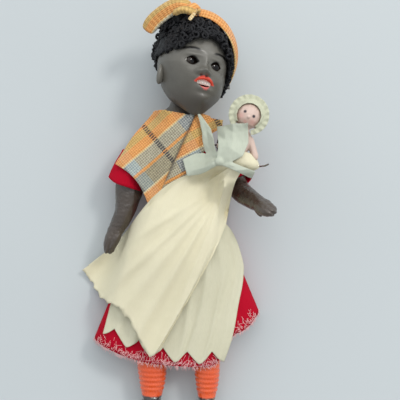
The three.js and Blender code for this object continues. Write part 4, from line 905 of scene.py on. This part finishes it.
def on_face(paint):
    def value(p):
        q = from_head @ (p / 1000)
        return paint(q.x - jaw_shift(q.y), q.y, q.z) if q.z > 6 else 0.0
    return value


def lip_paint(x, y, z):
    across = abs(x)
    top = MOUTH_Y + 3.3 * max(0.0, 1 - (across / 5.4) ** 2) ** 0.9 - 0.4 * swell(x, 0, 0, 0, 0.9, 1)
    low = MOUTH_Y - 3.2 * max(0.0, 1 - (across / 3.4) ** 2)
    if y >= MOUTH_Y - 0.4:
        return ease((top - y) / 0.3 + 0.5) if across < 5.4 else 0.0
    return 0.55 * ease((y - low) / 0.3 + 0.5) if across < 3.4 else 0.0


def brow_paint(x, y, z):
    across = abs(x)
    middle = 4.5 - 0.045 * (across - 7.6) ** 2
    ends = ease((across - 2.6) / 2.4) * ease((14.6 - across) / 3.4)
    return ends * ease(1.3 - abs(y - middle) / (0.35 + 0.5 * ends))


def lash_paint(x, y, z):
    out = (abs(x) - EYE_X) / 3.3
    lid = 2.15 * (1 - out * out)
    gap = abs(abs(y - EYE_Y) - lid)
    return ease(1 - gap / 0.55) if abs(out) < 1.05 else 0.0


def mouth_inside(x, y, z):
    round_share = max(0.0, 1 - (x / HALF_WIDTH) ** 2 - (y / HALF_HEIGHT) ** 2)
    skin = HALF_DEPTH * math.sqrt(round_share) + face_relief(x, y)
    return ease((skin - z - 1.1) / 0.8) if abs(x) < 4 and abs(y - MOUTH_Y) < 1.8 else 0.0


def nostril_paint(x, y, z):
    return ease(1.4 - math.hypot((abs(x - NOSE_X) - 1.5) / 0.8, (y + 8.0) / 0.5))


def dark_paint(x, y, z):
    return max(brow_paint(x, y, z), 0.8 * lash_paint(x, y, z), 0.7 * nostril_paint(x, y, z))


mark(head, "lips", on_face(lip_paint))
mark(head, "brows", on_face(dark_paint))
mark(head, "inside", on_face(mouth_inside))
# Painted light: the face is made lighter towards the forehead, which faces the lamps.
mark(head, "wear_and_painted_light", on_face(lambda x, y, z: 0.8 * ease((y + 3) / 10)))
# Painted shade: the face is made darker towards the chin, which faces away from the lamps.
mark(head, "painted_chin_shade", lambda p: 0.8 * ease((-11 - (from_head @ (p / 1000)).y) / 12))

tinted_bisque, tree, shader, place = new_finish("tinted_bisque")
height, cloud = add_grain(place, 1400.0)
skin = tint(cloud, seen(90, 87, 80), seen(108, 105, 97))
# Painted light: the skin is lighter towards the forehead.
skin = tint(read_mark(tree, "wear_and_painted_light"), skin, seen(120, 117, 110))
# Painted shade: the skin is darker towards the chin.
skin = tint(read_mark(tree, "painted_chin_shade"), skin, seen(66, 59, 52))
lip_red = tint(cloud, seen(206, 52, 34), seen(232, 82, 56))
lip_pink = tint(cloud, seen(190, 88, 82), seen(206, 104, 96))
lips = read_mark(tree, "lips")
strong = calc("MINIMUM", calc("MULTIPLY", lips, 1.9), 1.0)
lip = tint(calc("GREATER_THAN", lips, 0.58), lip_pink, lip_red)
skin = tint(strong, skin, lip)
skin = tint(read_mark(tree, "brows"), skin, seen(20, 17, 16))
colour(shader, read_mark(tree, "inside"), skin, seen(60, 14, 12))
roughen(shader, height, 0.16, 0.34)
plug(shader.inputs["Specular IOR Level"], 0.45)
plug(shader.inputs["Coat Weight"], 0.25)
plug(shader.inputs["Coat Roughness"], 0.22)
raise_from(shader, height, 0.00012)
place_piece(head, "head", "bisque", tinted_bisque, "head_shell")

pressed_card = grained("pressed_card", 800.0, "Height", seen(142, 122, 90), seen(178, 158, 122), 0.9, 0.0002)
dress_node("crown_pate", pressed_card)
plaster = grained("plaster", 1500.0, "Cloud", seen(214, 208, 196), seen(238, 234, 226), 0.95, 0.0002)
dress_node("right_eye_plaster", plaster)
dress_node("left_eye_plaster", plaster)

turned_wood, tree, shader, place = new_finish("turned_wood")
rings = add_texture("ShaderNodeTexWave", place, 500.0, wave_type="RINGS", rings_direction="Y")
plug(rings.inputs["Distortion"], 3.0)
colour(shader, rings.outputs["Fac"], seen(176, 136, 88), seen(206, 170, 118))
plug(shader.inputs["Roughness"], 0.6)
raise_from(shader, rings.outputs["Fac"], 0.0001)
dress_node("neck_button", turned_wood)

# Eyes and teeth.
# Blown glass eyes, dark brown with a narrow white, set from inside, and a row of white teeth.
# They look a little past the viewer, so that a white corner shows beside each iris.
set_eye, tree, shader, place = new_finish("set_eye")
height, cloud = add_grain(place, 2200.0)
ring_share = read_mark(tree, "off_gaze")
iris = tint(height, seen(12, 9, 7), seen(40, 28, 20))
black_centre = calc("LESS_THAN", ring_share, 17.0)
iris = tint(black_centre, iris, seen(8, 6, 6))
white = calc("GREATER_THAN", ring_share, 46.0)
colour(shader, white, iris, seen(226, 222, 214))
plug(shader.inputs["Roughness"], 0.1)
plug(shader.inputs["Specular IOR Level"], 0.3)
EYE_RADIUS = 0.0043
gaze = (head_frame.to_3x3() @ Vector((0.15, 0.0, 1.0))).normalized()
for side in ("right", "left"):
    eye_bm = bmesh.new()
    bmesh.ops.create_uvsphere(eye_bm, u_segments=40, v_segments=44, radius=EYE_RADIUS)
    bmesh.ops.rotate(eye_bm, verts=eye_bm.verts, matrix=gaze.to_track_quat("Z", "Y").to_matrix())
    bmesh.ops.translate(eye_bm, verts=eye_bm.verts, vec=eye_centres[side])
    smooth_faces(eye_bm)
    eye = set_out(side + "_eye_glass", eye_bm)
    middle = eye_centres[side] * 1000
    mark(eye, "off_gaze", lambda p: math.degrees((p - middle).angle(gaze)))
    place_piece(eye, "head", "eye_glass", set_eye, side + "_eye")

TEETH_WIDEN = 1.3
TEETH_FORWARD = 2.6
glazed_teeth = grained("glazed_teeth", 1500.0, "Cloud", seen(232, 226, 212), seen(250, 247, 240), 0.25)
teeth = softened("upper_teeth", "upper_teeth_glazed", 1, True)
teeth.data.transform(from_head)
for v in teeth.data.vertices:
    v.co.x = TEETH_WIDEN * v.co.x + jaw_shift(MOUTH_Y)
    v.co.z += TEETH_FORWARD
teeth.data.transform(head_frame)
place_piece(teeth, "head", "enamel", glazed_teeth, "upper_teeth")

# Wig.
# Black mohair in tight curls, glued to the card pate and clipped close round the face.
# The mass is one lumpy cap, and small separate curls stand on it wherever the scarf leaves it bare.
mohair, tree, shader, place = new_finish("mohair")
height, cloud = add_grain(place, 2600.0)
colour(shader, height, seen(4, 4, 6), seen(20, 19, 25))
roughen(shader, cloud, 0.3, 0.35)
plug(shader.inputs["Specular IOR Level"], 0.35)
raise_from(shader, height, 0.0004)

wig = remoulded("wig", "wig_mohair", 0.0008, 3)
for v in wig.data.vertices:
    v.co += v.normal * 0.0005 * noise.noise(v.co * 800)
place_piece(wig, "head", "mohair", mohair, "wig")

# The scarf's middle in the head's own millimetres, and how far it is tipped and turned.
SCARF_MIDDLE = Vector((0, 7, -4.5))
SCARF_HALF_WIDTH = 7.5
scarf_tip = math.radians(38)
scarf_turn = math.radians(24)
scarf_forward = Vector((-math.sin(scarf_turn), 0, math.cos(scarf_turn)))
scarf_side = Vector((math.cos(scarf_turn), 0, math.sin(scarf_turn)))
scarf_up = Vector((0, math.cos(scarf_tip), 0)) + scarf_forward * math.sin(scarf_tip)
scarf_over = Vector((0, -math.sin(scarf_tip), 0)) + scarf_forward * math.cos(scarf_tip)


# The angle of a place round the scarf, and how far it lies across it.
def round_scarf(q):
    out = q - SCARF_MIDDLE
    return math.atan2(out.dot(scarf_up), out.dot(scarf_side)), out.dot(scarf_over)


CURL_RADIUS = 0.0013
HAIR_RADIUS = 0.00066
CURL_RISE = 0.00009
CURL_TURN = 8.6
CURL_COUNT = 700
curl_bm = bmesh.new()
ring = bmesh.ops.create_circle(curl_bm, segments=6, radius=HAIR_RADIUS)["verts"]
bmesh.ops.rotate(curl_bm, verts=ring, matrix=Matrix.Rotation(math.pi / 2, 3, "X"))
bmesh.ops.translate(curl_bm, verts=ring, vec=(CURL_RADIUS, 0, 0))
bmesh.ops.spin(
    curl_bm, geom=[*curl_bm.verts, *curl_bm.edges], cent=(0, 0, 0), axis=(0, 0, 1), dvec=(0, 0, CURL_RISE),
    angle=CURL_TURN, steps=15,
)
bmesh.ops.recalc_face_normals(curl_bm, faces=curl_bm.faces)
smooth_faces(curl_bm)
one_curl = bpy.data.meshes.new("one_curl")
curl_bm.to_mesh(one_curl)
curl_bm.free()


def clear_of_scarf(angle, across):
    return abs(across) > SCARF_HALF_WIDTH * (0.62 + 0.38 * abs(math.cos(angle))) + 1.4


# On the doll's right the hair puffs out over the edge of the scarf.
def over_scarf(angle, across):
    return 1.85 < angle % (2 * math.pi) < 3.6 and across > 0


curl_chance = random.Random(11)
hair_faces = []
for name, shows in (("wig", clear_of_scarf), ("headscarf_band", over_scarf)):
    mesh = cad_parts[name].data
    for face in mesh.polygons:
        q = from_head @ face.center
        outward = 1000 * face.normal.dot(head_frame.to_3x3() @ q.normalized())
        below_ear = q.x < 0 and q.y < -9
        if outward > 0.15 and shows(*round_scarf(q)) and not below_ear:
            corners = [mesh.vertices[i].co.copy() for i in face.vertices]
            hair_faces.append((face.area, face.normal.copy(), corners))
curl_moves = []
hair_areas = [face[0] for face in hair_faces]
for _, normal, corners in curl_chance.choices(hair_faces, hair_areas, k=CURL_COUNT):
    a, b = sorted((curl_chance.random(), curl_chance.random()))
    spot = corners[0] * a + corners[1] * (b - a) + corners[2] * (1 - b)
    angle, across = round_scarf(from_head @ spot)
    turned = angle % (2 * math.pi)
    low = ease((turned - 2.3) / 0.5) * ease((4.4 - turned) / 0.5)
    sink = 0.0012 + 0.003 * low if over_scarf(angle, across) else -0.0004 + 0.0022 * low
    axis = normal + 0.9 * Vector([curl_chance.uniform(-1, 1) for _ in range(3)])
    size = curl_chance.uniform(0.75, 1.15) * (0.6 if (from_head @ spot).x > 12 else 1.0)
    turn = axis.to_track_quat("Z", "Y").to_matrix().to_4x4()
    turn = turn @ Matrix.Rotation(curl_chance.uniform(0, 6.28), 4, "Z")
    curl_moves.append(Matrix.Translation(spot - normal * sink) @ turn @ Matrix.Scale(size, 4))
curls = scatter("wig_curls", one_curl, curl_moves)
place_piece(curls, "head", "mohair", mohair)

# Headscarf and shawl.
# Both are cut from one checked cotton: tan and orange blocks, grey-blue checks and thin pale lines.
# The scarf goes under the nape and up to a knot, and the shawl lies over the shoulders and crosses in front.
plaid_group, entry, leave = new_group(
    "woven_check", {"Place": "Vector"}, {"Color": "Color", "Height": "Float"}
)
tree = plaid_group
jitter = add_texture("ShaderNodeTexNoise", entry.outputs["Place"], 900.0)
parts = node(tree, "ShaderNodeSeparateXYZ")
plug(parts.inputs[0], entry.outputs["Place"])
wander = calc("MULTIPLY", calc("SUBTRACT", jitter.outputs[0], 0.5), 0.0009)
along = calc("ADD", parts.outputs[0], wander)
across = calc("ADD", parts.outputs[1], wander)


# Bands of colour that start at the given lengths and repeat along the cloth.
def stripes(way, repeat, bands):
    ramp = node(way.id_data, "ShaderNodeValToRGB")
    ramp.color_ramp.interpolation = "CONSTANT"
    share = calc("FRACT", calc("DIVIDE", way, repeat))
    plug(ramp.inputs[0], share)
    steps = ramp.color_ramp.elements
    while len(steps) < len(bands):
        steps.new(0.5)
    for step, (start, colour) in zip(steps, bands):
        step.position = start / repeat
        step.color = colour
    return ramp.outputs["Color"]


CHECK_REPEAT = 0.0336
END_REPEAT = 0.044
tan = (seen(224, 186, 114), seen(184, 146, 84))
amber = (seen(242, 176, 104), seen(210, 132, 66))
cream_line = (seen(246, 230, 190), seen(216, 178, 116))
slate = (seen(204, 204, 188), seen(104, 110, 114))
dun = (seen(186, 180, 154), seen(98, 98, 92))
check_bands = [
    (0.0, tan), (0.004, amber), (0.0088, cream_line), (0.0097, slate), (0.0164, amber), (0.0179, dun),
    (0.0262, cream_line), (0.027, amber),
]
pale_yarn, deep_yarn = [
    stripes(across, CHECK_REPEAT, [(begin, shades[k]) for begin, shades in check_bands]) for k in (0, 1)
]
crossing = [
    calc("SINE", calc("MULTIPLY", calc(way, along, across), 2700.0)) for way in ("ADD", "SUBTRACT")
]
fleck = scaled(calc("MULTIPLY", crossing[0], crossing[1]), 0.8, jitter.outputs[0])
warp = tint(fleck, pale_yarn, deep_yarn)
END_BANDS = [(0.0, seen(176, 196, 200)), (0.006, seen(190, 170, 126)), (0.036, seen(128, 132, 140))]
end_band = stripes(along, END_REPEAT, END_BANDS)
WEFT_BANDS = ((0.0, 0.1), (0.0097, 0.4), (0.0164, 0.1), (0.0179, 0.3), (0.0262, 0.1))
weft_share = stripes(across, CHECK_REPEAT, [(start, (share,) * 4) for start, share in WEFT_BANDS])
cloth_colour = tint(weft_share, warp, end_band)
LINE_BANDS = ((0.0, 0.0), (0.0196, 1.0), (0.0222, 0.0))
dark_line = stripes(along, END_REPEAT, [(start, (share,) * 4) for start, share in LINE_BANDS])
dash = calc("GREATER_THAN", calc("SINE", calc("MULTIPLY", across, 4800.0)), -0.35)
navy_share = calc("MULTIPLY", calc("MULTIPLY", dark_line, dash), 0.85)
cloth_colour = tint(navy_share, cloth_colour, seen(44, 42, 58))
plug(leave.inputs["Color"], cloth_colour)
plug(leave.inputs["Height"], fleck)

checked_cotton, tree, shader, place = new_finish("checked_cotton")
check = node(tree, "ShaderNodeGroup", node_tree=plaid_group)
plug(check.inputs["Place"], node(tree, "ShaderNodeAttribute", attribute_name="cut").outputs["Vector"])
# Painted shade along the shawl's fold line, where its upper layer shades the lower one.
painted_fold_shade = calc("MULTIPLY", read_mark(tree, "crease"), 0.55)
colour(shader, painted_fold_shade, check.outputs["Color"], seen(70, 58, 50))
plug(shader.inputs["Roughness"], 0.88)
plug(shader.inputs["Sheen Weight"], 0.2)
plug(shader.inputs["Specular IOR Level"], 0.2)
raise_from(shader, check.outputs["Height"], 0.0003)


# The place on the flat cloth that each point was cut from.
def lay_out(made, spot_on_cloth):
    cut = made.data.attributes.new("cut", "FLOAT_VECTOR", "POINT")
    flat = []
    for v in made.data.vertices:
        along, across = spot_on_cloth(v.co * 1000)
        flat.extend((along / 1000, across / 1000, 0.0))
    cut.data.foreach_set("vector", flat)


def scarf_cut(p):
    angle, across = round_scarf(from_head @ (p / 1000))
    return 2.4 + 20 * ((angle + math.pi / 2) % (2 * math.pi)), 3.2 + 0.7 * (SCARF_HALF_WIDTH - across)


SCARF_PULL = 3.8
scarf = softened("headscarf_band", "headscarf_band_cloth", 3)
for v in scarf.data.vertices:
    q = from_head @ v.co
    angle = round_scarf(q)[0] % (2 * math.pi)
    inward = (SCARF_MIDDLE - q).normalized() * ease((angle - 1.65) / 0.4) * ease((5.4 - angle) / 0.6)
    v.co = head_frame @ (q + SCARF_PULL * inward)
lay_out(scarf, scarf_cut)
place_piece(scarf, "head", "plaid", checked_cotton, "headscarf_band")

# The ways of the knot's flare, loop and tail, in the head's own millimetres.
KNOT_MIDDLE = Vector((-8.6, 25.4, 11.4))
KNOT_SIZE = Vector((4.0, 2.9, 3.6))
TO_VIEWER = Vector((-0.37, -0.06, 0.93))
FLARE_POINTS = (
    (-9, 26, 9), (-15, 26, 8.6), (-18.4, 24.6, 7), (-22, 21.2, 4.4), (-25.2, 16.6, 0.6), (-27, 11.4, -2.6),
)
LOOP_POINTS = ((-18, 21, 9), (-15.8, 22.6, 12.4), (-12.6, 23, 14.4), (-9.6, 22.6, 15))
TAIL_POINTS = ((-7.4, 27, 12.6), (-9, 22.8, 15.4), (-10.9, 19.4, 16.8), (-12, 17.4, 17.2))
FLARE_WAY, LOOP_WAY, TAIL_WAY = [[Vector(p) for p in way] for way in (FLARE_POINTS, LOOP_POINTS, TAIL_POINTS)]


def swept(bm, points, half_width, half_depth):
    grid = bmesh.ops.create_grid(bm, x_segments=36, y_segments=24, size=1.0)["verts"]
    for v in grid:
        share, turn = (v.co.x + 1) / 2, math.pi * (v.co.y + 1)
        spot, way = walk(points, share)
        across = way.cross(TO_VIEWER).normalized()
        full = math.sqrt(max(0.0, 1 - abs(2 * share - 1) ** 8))
        fold = 0.25 * math.cos(3 * turn + 5 * share) * full
        flat = across * half_width * full * math.cos(turn)
        v.co = spot + flat + across.cross(way) * (half_depth * full * math.sin(turn) + fold)


knot_bm = bmesh.new()
ball = bmesh.ops.create_uvsphere(knot_bm, u_segments=32, v_segments=20, radius=1.0)["verts"]
for v in ball:
    lump = 1 + 0.08 * math.sin(5 * v.co.x + 3 * v.co.y)
    v.co = KNOT_MIDDLE + v.co * KNOT_SIZE * lump
swept(knot_bm, FLARE_WAY, 4.2, 1.5)
swept(knot_bm, LOOP_WAY, 1.9, 1.2)
swept(knot_bm, TAIL_WAY, 1.0, 0.6)
bmesh.ops.remove_doubles(knot_bm, verts=knot_bm.verts, dist=1e-3)
bmesh.ops.recalc_face_normals(knot_bm, faces=knot_bm.faces)
bmesh.ops.transform(knot_bm, matrix=head_frame, verts=knot_bm.verts)
knot = evened(set_out("headscarf_knot_cloth", knot_bm), 0.0003, 3)

# Each way's width, its places, and the middle and turn of the check along it.
knot_ways = [
    (3.6, [walk(FLARE_WAY, i / 40) for i in range(7, 41)], 5.6, -1.35),
    (1.6, [walk(LOOP_WAY, i / 20) for i in range(21)], 2.0, 0.5),
    (0.8, [walk(TAIL_WAY, i / 20) for i in range(21)], 9.2, 0.2),
    (3.4, [(KNOT_MIDDLE, Vector((0.8, 0.6, 0.0)))], 5.4, -0.8),
]


# Each part of the knot lies along its own stretch of the check: the flare has an orange middle.
def knot_cut(p):
    q = from_head @ (p / 1000)
    nearest = (1e9, 0.0, 0.0)
    for size, spots, middle, turn in knot_ways:
        for index, (spot, way) in enumerate(spots):
            gap = (q - spot).length / size
            if gap < nearest[0]:
                offset = (q - spot).dot(way.cross(TO_VIEWER))
                nearest = (gap, 23.0 + 0.4 * index, middle + turn * offset)
    return nearest[1:]


lay_out(knot, knot_cut)
place_piece(knot, "head", "plaid", checked_cotton, "headscarf_knot")


# How far a place lies past the edge of the upper layer, where the shawl crosses.
def past_fold(p):
    return 0.924 * (p.x - 5.6) - 0.383 * (p.y - 79.3)


def shawl_cut(p):
    under = past_fold(p) >= 0
    base, lean = ((3.1, 60.7), 30.0) if under else ((-30.5, 53.0), 42.0)
    c, s = math.cos(math.radians(lean)), math.sin(math.radians(lean))
    dx, dy = p.x - base[0], p.y - base[1]
    return dx * c + dy * s, 8.8 - (dy * c - dx * s)


shawl = remoulded("shawl", "shawl_cloth", 0.00033, 10)
for v in shawl.data.vertices:
    p = v.co * 1000
    collar = ease((p.y - 70) / 11) * ease((6 - p.x) / 8)
    shoulder = ease((-4 - p.x) / 12) * (2.0 - 0.9 * ease((p.y - 56) / 14))
    front = 4.5 * ease((52 - p.y) / 8) * ease((p.x + 13) / 4)
    corner = ease((p.x - 9) / 6) * ease((p.y - 70) / 7)
    crease = 0.8 * math.exp(-((past_fold(p) / 0.7) ** 2)) * ease((p.y - 44) / 3)
    drop = -1.2 * collar - crease
    v.co += Vector((shoulder + 5.2 * corner, 0.8 * collar - front - 1.4 * corner, drop)) * MM
# The crease mark is painted shade along the fold, where the upper layer lies over the lower one.
mark(shawl, "crease", lambda p: math.exp(-((past_fold(p) / 0.8) ** 2)) * ease((p.y - 44) / 3))
lay_out(shawl, shawl_cut)
shawl.data.materials.append(checked_cotton)
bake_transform(shawl, "torso", "right_arm", start=(-0.012, 0, 0), end=(-0.027, 0, 0))
for v, share in zip(shawl.data.vertices, shawl.data.attributes["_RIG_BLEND"].data):
    share.value *= ease((0.07 - v.co.y) / 0.014)
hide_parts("shawl")

# Baby.
# A small one-piece bisque doll tinted pink, with painted eyes, in a pleated bonnet and a gathered gown top.
# It is pinned and tied to the chest with its face up.
baby_middle = Vector((33.1, 79.8, 37.6))
face_right = Vector((0.88, -0.48, 0.0))
face_up = Vector((0.48, 0.88, 0.0))


def baby_face(p):
    q = p - baby_middle
    return q.dot(face_right), q.dot(face_up), q.z


def baby_eyes(p):
    x, y, z = baby_face(p)
    return ease((1.0 - math.hypot(abs(x) - 2.5, y)) / 0.5) if z > 3 else 0.0


def baby_blush(p):
    x, y, z = baby_face(p)
    cheeks = swell(abs(x), y, 3.4, -2.8, 1.8, 1.6)
    return min(1.0, cheeks + 1.2 * swell(x, y, 0, -4.2, 1.0, 0.6)) if z > 2 else 0.0


pink_bisque, tree, shader, place = new_finish("pink_bisque")
height, cloud = add_grain(place, 1500.0)
skin = tint(cloud, seen(200, 174, 160), seen(214, 190, 178))
skin = tint(calc("MULTIPLY", read_mark(tree, "blush"), 0.3), skin, seen(222, 120, 112))
colour(shader, read_mark(tree, "eyes"), skin, seen(52, 46, 52))
roughen(shader, height, 0.2, 0.4)
raise_from(shader, height, 0.0001)
baby = remoulded("baby_doll", "baby_doll_bisque", 0.00034, 6)
mark(baby, "eyes", baby_eyes)
mark(baby, "blush", baby_blush)
place_piece(baby, "torso", "pink_bisque", pink_bisque, "baby_doll")

cream_cotton = cotton("cream_cotton", seen(220, 212, 180), seen(238, 231, 204), 2600.0, 0.8, 0.0001)
bonnet_lawn = cotton("bonnet_lawn", seen(190, 191, 165), seen(212, 213, 190), 2600.0, 0.8, 0.0001)
bonnet = remoulded("baby_bonnet", "baby_bonnet_cloth", 0.0003, 12)
place_piece(bonnet, "torso", "cream_cotton", bonnet_lawn, "baby_bonnet")
yoke = softened("baby_gown_bodice", "baby_gown_top_cloth", 3)
place_piece(yoke, "torso", "cream_cotton", cream_cotton, "baby_gown_bodice")

# Gown.
# The long skirt of the baby's gown, cut from the same cream cotton as its top.
# It is gathered at the baby's waist and lies slantwise over the apron down to the table.
GOWN_GATHER = Vector((24, 46, 0))
# Each fold runs out from the gathering: its angle, half width and height.
GOWN_FOLDS = ((-57, 2.6, 1.1), (-46, 2.2, 1.4), (-38, 2.4, 1.2), (-29, 2.6, 2.5), (-20, 2.2, 1.1))
SHARP = 0.9
RAG_REACH = 0.0015


def laid_gown(name):
    outline = merged_solid("baby_gown")
    rim = []
    for edge in outline.edges:
        a, b = (v.co for v in edge.verts)
        if edge.calc_face_angle(0.0) > SHARP and max(a.y, b.y) < HIP_LINE:
            rim.extend(a.lerp(b, i / 8) for i in range(9))
    near_rim = nearest_of(rim)
    outline.free()
    gown = softened("baby_gown", name, 3, True)
    for v in gown.data.vertices:
        from_gather = (v.co * 1000 - GOWN_GATHER) * Vector((1, 1, 0))
        turn = math.degrees(math.atan2(from_gather.x, -from_gather.y))
        fold = sum(height * math.exp(-(((turn - at) / wide) ** 2)) for at, wide, height in GOWN_FOLDS)
        torn = math.exp(-near_rim.find(v.co)[2] / RAG_REACH)
        rag = 1.6 * noise.noise(v.co * 260) + 0.8 * noise.noise(v.co * 700)
        lift = Vector((0, 0, fold * ease(from_gather.length / 60)))
        v.co += (lift + from_gather.normalized() * rag * torn) * MM
    return gown


for side, sign, half in halves("baby_gown_cloth", laid_gown):
    hang_on_leg(half, side, sign, "cream_cotton", cream_cotton, "baby_gown")

# Ribbon and pin.
# A pale ribbon goes round the baby and ties in a bow, with one end standing up to the chin.
# A plain steel pin by the baby's hand holds its gown to the dress.
pale_ribbon = cotton("pale_ribbon", seen(176, 182, 166), seen(204, 209, 192), 1600.0, 0.6, 0.00012)
ribbon = remoulded("ribbon_bow", "ribbon_bow_cloth", 0.0003, 12)
place_piece(ribbon, "torso", "pale_ribbon", pale_ribbon, "ribbon_bow")
dress_node("baby_pin", drawn_wire)

low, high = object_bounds()
